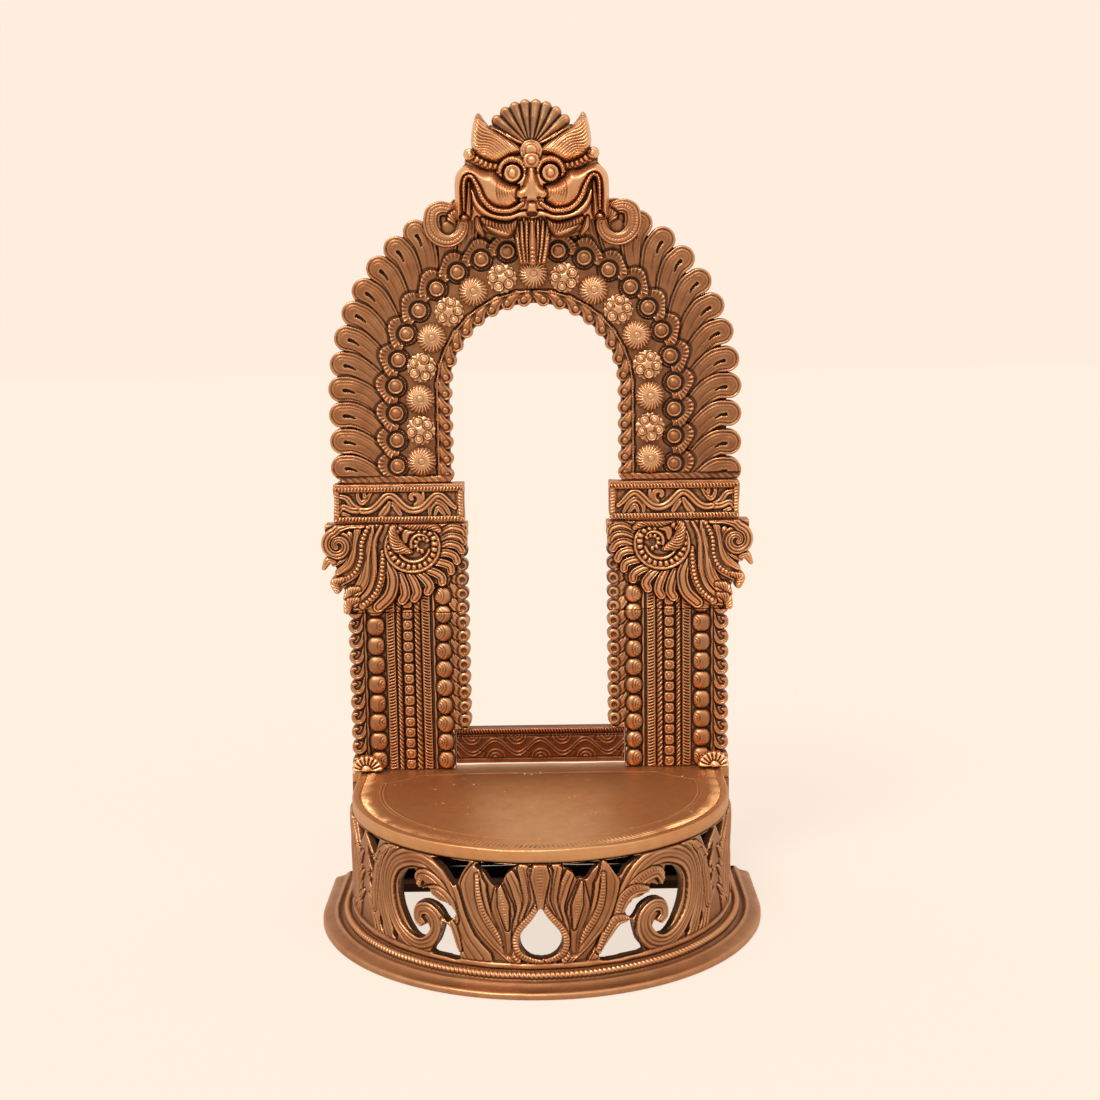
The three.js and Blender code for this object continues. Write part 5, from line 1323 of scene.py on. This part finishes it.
def drum_motif(wall, placed, broad=0):
    """The carved pattern of one quarter of the wall, with a broader scroll foot if broad is 1."""

    def line(points, per_span=8):
        return curve(placed(points), per_span)

    rib = pair(0.5, 0.6, 0.36)

    # Band over everything else at the side, with its engraved lines
    wall.stroke(line([(81, 12), (85.5, 22), (87.5, 34), (86, 45), (80, 54), (76, 57)]),
                [4.0, 3.6, 3.2, 3.0], [1.2], level=0.0, form=4, seam=1.2, grooves=pair(0.3, 0.6, 0.35))
    for k in range(4):
        wall.stroke(line([(83.6 + k * 3.4, 10.5), (88.0 + k * 2.9, 22), (89.6 + k * 2.6, 34),
                          (88.6 + k * 2.7, 47)]),
                    [0.9, 1.5, 1.3, 0.6], [0.9], level=0.2, form=3, seam=0.9)
    for lift in (0, 1, 2):
        wall.stroke(line([(83 + lift * 4, 55 - lift * 5), (90 + lift * 2, 48 - lift * 8),
                          (93 + lift, 38 - lift * 8), (101.5, 42.5 - lift * 10 + 4)]), [2.0, 2.9, 2.6, 0.8],
                    [1.2], level=0.1, form=3, seam=1.0, grooves=rib)
    # C-scroll: from the foot, over the top, down the side and into the volute
    scroll = line([(24 + 6 * broad, 11), (31 + 5 * broad, 20), (37 + 3 * broad, 31), (42 + broad, 42.5),
                   (49, 51.5), (58, 55.6), (67, 54.6), (76, 49.5), (80.6, 41), (80.4, 31), (76.8, 22),
                   (70, 15.4), (62, 12.8), (54.4, 15.2), (50.2, 21), (50.4, 27.4), (55, 31.6), (60, 30.6),
                   (61.4, 26.2), (59.2, 24)])
    wall.stroke(scroll, [2.6 + 5 * broad, 3.4 + 2.6 * broad, 4.0 + broad, 4.6, 4.8, 4.6, 4.4, 4.2, 3.8, 3.4,
                         3.2, 4.0, 4.6, 4.0, 3.0, 2.2], [1.5], level=0.0, form=4, seam=1.2,
                grooves=[(0.5, 0.7, 0.4), (-0.45, 0.7, 0.4), (0.05, 0.35, 0.34)])
    # Leaf fingers inside the scroll
    fingers = [([(39.5 + 3 * broad, 35), (45 + 3 * broad, 43.4), (52 + 2 * broad, 47.4), (58 + broad, 47.4),
                 (61.4, 42)], [2.4, 3.3, 3.2, 1.8]),
               ([(35.5 + 5 * broad, 29), (39 + 5 * broad, 37.4), (45 + 5 * broad, 41.4),
                 (51.6 + 5 * broad, 40.6)], [2.2, 3.2, 3.2, 1.6]),
               ([(27 + 12 * broad, 15.5), (31.5 + 10 * broad, 24 - broad), (36 + 7.5 * broad, 28.6 - broad),
                 (42.4 + 4 * broad, 28)], [2.0, 2.8, 2.9, 1.4])]
    for drawn, width in fingers:
        wall.stroke(line(drawn), width, [1.6], level=0.3, form=3.4, seam=1.3,
                    ticks=(1.4, 0.6, -0.1, 0.7, 0.1), grooves=[(-0.3, 0.8, 0.36), (0.75, 0.5, 0.3)])
    # Pointed leaf with its ticked midrib
    wall.stroke(line([(29.2, 57.6), (31, 49), (29.6, 39), (25.5, 29), (18, 18.6), (11.5, 11.5)]),
                [0.9, 6.2, 5.6, 5.0, 3.6, 2.2], [1.5], level=0.2, form=4, seam=1.3,
                grooves=pair(0.6, 0.55, 0.32))
    wall.stroke(line([(29.0, 52), (28.4, 42.4), (26.4, 34.6), (22.0, 27.1), (16.4, 19.7), (10.5, 12.4)]),
                [1.0, 1.6, 1.7, 1.7, 1.4], [1.2], level=1.0, form=3, seam=0.9,
                ticks=(1.45, 0.6, -0.8, 0.8, 0))
    # Bud between the leaves, and its sheath
    wall.stroke(line([(15.0, 15.5), (14.4, 26), (17.4, 36), (18.8, 49.6)]), [1.6, 4.8, 5.2, 1.2], [0.9],
                level=0.0, form=3, seam=1.0, grooves=pair(0.62, 0.5, 0.3))
    wall.stroke(line([(15.2, 27), (16.8, 38), (18.8, 49)]), [0.8, 2.7, 0.7], [1.7], level=0.3, form=3,
                seam=1.4, ticks=(1.3, 0.4, -0.45, 0.45, 0), grooves=pair(0.6, 0.5, 0.28))
    # Drapery folds beside the stem
    folds = [([(13.6, 53.4), (10.4, 46), (8.4, 37), (10.8, 28), (10.4, 20), (6, 12.6)],
              [2.2, 2.7, 2.2, 2.0, 1.7]),
             ([(7.6, 56.2), (6.0, 48), (5.6, 40), (8.6, 31.4)], [2.6, 2.7, 2.1, 1.4]),
             ([(4.0, 55), (3.2, 47), (3.0, 40.5), (6.0, 33.4)], [1.6, 1.7, 1.5, 1.1])]
    for drawn, width in folds:
        wall.stroke(line(drawn), width, [1.4], level=0.2, form=3.4, seam=1.2,
                    grooves=[(0.1, 0.7, 0.3)], ticks=(1.3, 0.3, -0.9, -0.1, 0))
    # Ticked band down the side of the drop-shaped opening
    wall.stroke(line([(0.8, 39.0), (5.0, 32.8), (9.6, 27.2), (11.6, 21.4), (9.2, 14.8), (0, 11.4)]),
                [1.4, 1.6, 1.6, 1.4], [1.5], level=0.4, form=3, seam=0.9, ticks=(1.4, 0.55, -0.8, 0.8, 0))


TEAR = [(0, 37.6), (-3.8, 31.5), (-9.2, 24.5), (-9.4, 19), (-5.6, 14.4), (0, 13.1), (5.6, 14.4), (9.4, 19),
        (9.2, 24.5), (3.8, 31.5)]
HOLES = [
    [(8.5, 57.5), (27.4, 57.5), (24.2, 53.4), (21.4, 49.6), (18.8, 50.4), (16.6, 50.2), (14.6, 53.8)],
    [(31, 57.5), (48, 57.5), (41.2, 53.2), (37.4, 48.6), (34, 52.4)],
    [(63.0, 49.4), (69.6, 47.6), (74.4, 42), (75.2, 36), (73.6, 29), (69, 21.4), (63.6, 16.8), (58.4, 17.2),
     (55.2, 21.2), (56.8, 24.2), (60.4, 21.8), (64.0, 24.4), (64.2, 30.4), (60.6, 34.4), (55, 35.2),
     (49.4, 33.2), (46.4, 29.4), (43.8, 27.6), (39.6, 32.4), (44, 36.6), (49.4, 37.4), (52.4, 39.4),
     (54.4, 42.6), (60.0, 41.0)],
    [(36.3, 25.4), (43.2, 27.6), (45.2, 22.0), (47.0, 16.3), (50.4, 11.0), (40.4, 10.4), (27.4, 10.4),
     (29.4, 17.2)],
    [(87.6, 12.8), (89.8, 16.4), (88.6, 20.8), (86.6, 16.6)],
    [(76.4, 11.6), (78.6, 13.6), (78.0, 17.2), (75.8, 14.6)],
    [(88.8, 57.5), (103.6, 57.5), (100.2, 53), (95.3, 48.4)],
    [(94.0, 45.4), (98.4, 48.4), (102.4, 51), (101.6, 44), (96.6, 38.4)],
    [(96.6, 35.6), (100.9, 40.0), (101.4, 33.0), (98.2, 30.6)],
]

LEFT_HOLES = {
    0: [(9.6, 57.5), (29.6, 57.5), (25.8, 52.6), (22.6, 48.2), (19.8, 46.4), (17.6, 48.6), (15.0, 53.6)],
    1: [(33, 57.5), (52, 57.5), (46.4, 52.2), (40.6, 45.4), (37, 51.6)],
    3: [(42.6, 25.4), (46.2, 27.4), (48.2, 22.0), (50.6, 16.3), (54.0, 11.0), (46, 10.4), (38.4, 10.4),
        (40, 17.2)],
}
SIDE_HOLES = HOLES[7:]


def drum():
    half = QUARTER + POST_FRONT_Y - PLAN_CENTRE_Y
    wall = Relief((-half, WALL_BOTTOM), (half, WALL_TOP), 0.36)
    edge = np.maximum(np.abs(wall.U) - half, np.maximum(WALL_BOTTOM - wall.V, wall.V - WALL_TOP))
    wall.plate(edge, 0.0)
    for turn in (1, -1):
        drum_motif(wall, lambda points: far_side(points, turn))
        drum_motif(wall, lambda points: sided(points, turn), int(turn < 0))
    # Central stem with its round knob
    wall.stroke(curve([(0, 57), (0, 54.6), (0, 50.5), (0, 44), (0, 37.8)]), [3.4, 4.5, 3.4, 2.2, 1.4],
                [1.6], level=0.6, form=4, seam=1.2, ticks=(1.5, 0.4, -0.35, 0.35, 0),
                grooves=pair(0.6, 0.35, 0.3))
    wall.groove(spiral((0, 53.8), (5.9, 4.9), (8, 172), 20), 0.9, 0.5)
    # Moulding along the foot of the wall
    cove = np.array([(-half, WALL_BOTTOM + 0.9), (half, WALL_BOTTOM + 0.9)])
    wall.stroke(cove, [1.7], [1.1], level=0.3, form=2.5, seam=0.4, solid=False)
    wall.height += 0.1 * unevenness(wall.U.shape, 8)
    wall.pierce(curve(TEAR + TEAR[:1], 6)[:-1])
    for number, outline in enumerate(HOLES):
        for turn in (1, -1):
            near = outline if turn > 0 else LEFT_HOLES.get(number, outline)
            wall.pierce(curve(sided(near + near[:1], turn), 3)[:-1])
            if outline in SIDE_HOLES:
                continue
            far = far_side(outline, turn)
            if np.abs(far[:, 0]).max() < half - 2:
                wall.pierce(far)
    wall.trim(edge)
    # The walls of the holes and the inner face take the value -1.3, growing with depth: painted shade
    # inside the base.
    built = wall.build(-WALL_THICKNESS, wall_place, 0.6, -1.3)
    add_piece("carved_wall", built, "base", ["pierced_drum"], "brass", BRASS)


# Hidden and plain CAD nodes keep their shape and get a finish

def finish_plain_nodes():
    clean_outside(BRASS_INNER_PAINTED_SHADE)
    hidden = [f"{side}_{part}" for side in ("left", "right") for part in ("tenon_socket", "tenon",
                                                                          "spine_rod")]
    finishes = dict.fromkeys(hidden + ["mask_rivet"], BRASS_DARK)
    # The back panel takes the near-black inner metal: painted shade inside the base.
    finishes["back_panel"] = BRASS_INNER_PAINTED_SHADE
    finishes["left_back_post"] = BRASS_FOOT
    finishes["right_back_post"] = BRASS_FOOT
    for name, material in finishes.items():
        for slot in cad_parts[name].material_slots:
            slot.material = material


# Stage, lights and camera

BACKGROUND = (1.0, 0.855, 0.730)
STUDIO_LIGHT = (1.0, 0.94, 0.88, 1)
FLOOR_REACH = 6.0
FLOOR_DROP = 0.0004


def background(share):
    """The background's colour at a share of its brightness."""
    return (*(c * share for c in BACKGROUND), 1)


def show(tree, plain, shown, output):
    """One shader for the camera and mirror-like rays, and a plain one for all other rays."""
    path = add_node(tree, "ShaderNodeLightPath").outputs
    direct = combine(tree, "MAXIMUM", path["Is Camera Ray"], path["Is Glossy Ray"])
    seen = combine(tree, "MAXIMUM", direct, path["Is Transmission Ray"])
    mix = add_node(tree, "ShaderNodeMixShader", {0: seen, 1: plain.outputs[0], 2: shown.outputs[0]})
    add_node(tree, output, {"Surface": mix.outputs[0]})


def pale_floor():
    mesh = bpy.data.meshes.new("floor")
    corners = [(-FLOOR_REACH, -FLOOR_REACH, 0), (FLOOR_REACH, -FLOOR_REACH, 0),
               (FLOOR_REACH, FLOOR_REACH, 0), (-FLOOR_REACH, FLOOR_REACH, 0)]
    mesh.from_pydata(corners, [], [(0, 1, 2, 3)])
    floor = bpy.data.objects.new("floor", mesh)
    bpy.context.scene.collection.objects.link(floor)
    floor.location.z = -FLOOR_DROP
    material = bpy.data.materials.new("pale_floor")
    material.use_nodes = True
    tree = material.node_tree
    tree.nodes.clear()
    plain = add_node(tree, "ShaderNodeBsdfDiffuse", {"Color": background(0.9)})
    dim = add_node(tree, "ShaderNodeBsdfDiffuse", {"Color": background(0.15)})
    glow = add_node(tree, "ShaderNodeEmission", {"Color": background(1.0), "Strength": 0.84})
    shown = add_node(tree, "ShaderNodeAddShader", {0: dim.outputs[0], 1: glow.outputs[0]})
    show(tree, plain, shown, "ShaderNodeOutputMaterial")
    mesh.materials.append(material)


def studio_world():
    world = bpy.data.worlds.new("studio")
    bpy.context.scene.world = world
    world.use_nodes = True
    tree = world.node_tree
    tree.nodes.clear()
    soft = add_node(tree, "ShaderNodeBackground", {"Color": STUDIO_LIGHT, "Strength": 0.6})
    shown = add_node(tree, "ShaderNodeBackground", {"Color": background(1.0), "Strength": 1.0})
    show(tree, soft, shown, "ShaderNodeOutputWorld")


def sun(name, turn, power, softness, colour):
    """A sun lamp, turned over X and then Z, in degrees."""
    data = bpy.data.lights.new(name, "SUN")
    data.energy = power
    data.angle = math.radians(softness)
    data.color = colour
    light = bpy.data.objects.new(name, data)
    light.rotation_euler = (Matrix.Rotation(math.radians(turn[1]), 4, "Z")
                            @ Matrix.Rotation(math.radians(-turn[0]), 4, "X")).to_euler()
    bpy.context.scene.collection.objects.link(light)


def lights():
    sun("key", (-38, -30), 2.3, 24, (1.0, 0.96, 0.9))
    sun("fill", (-55, 40), 0.45, 50, (1.0, 0.95, 0.9))


CAMERA_PLACE = (0.0066, -0.766, 0.312)
CAMERA_PITCH = 8.87
CAMERA_ROLL = 0.8
SENSOR_WIDTH = 36.0
FOCAL_PIXELS = 1622
PHOTO_WIDTH = 1100


def camera():
    data = bpy.data.cameras.new("camera")
    data.lens = SENSOR_WIDTH * FOCAL_PIXELS / PHOTO_WIDTH
    data.sensor_width = SENSOR_WIDTH
    data.sensor_fit = "HORIZONTAL"
    eye = bpy.data.objects.new("camera", data)
    eye.matrix_world = (Matrix.Translation(CAMERA_PLACE)
                        @ Matrix.Rotation(math.radians(90 - CAMERA_PITCH), 4, "X")
                        @ Matrix.Rotation(math.radians(-CAMERA_ROLL), 4, "Z"))
    bpy.context.scene.collection.objects.link(eye)
    bpy.context.scene.camera = eye


camera()
lights()
pale_floor()
studio_world()
torana_arch()
rosettes()
for side in (-1, 1):
    pillar(side)
    capital(side)
    abacus(side)
    curl(side)
    shell(side)
bottom_rail()
mask()
seat()
foot()
drum()
finish_plain_nodes()

bpy.context.scene.view_settings.view_transform = "Standard"
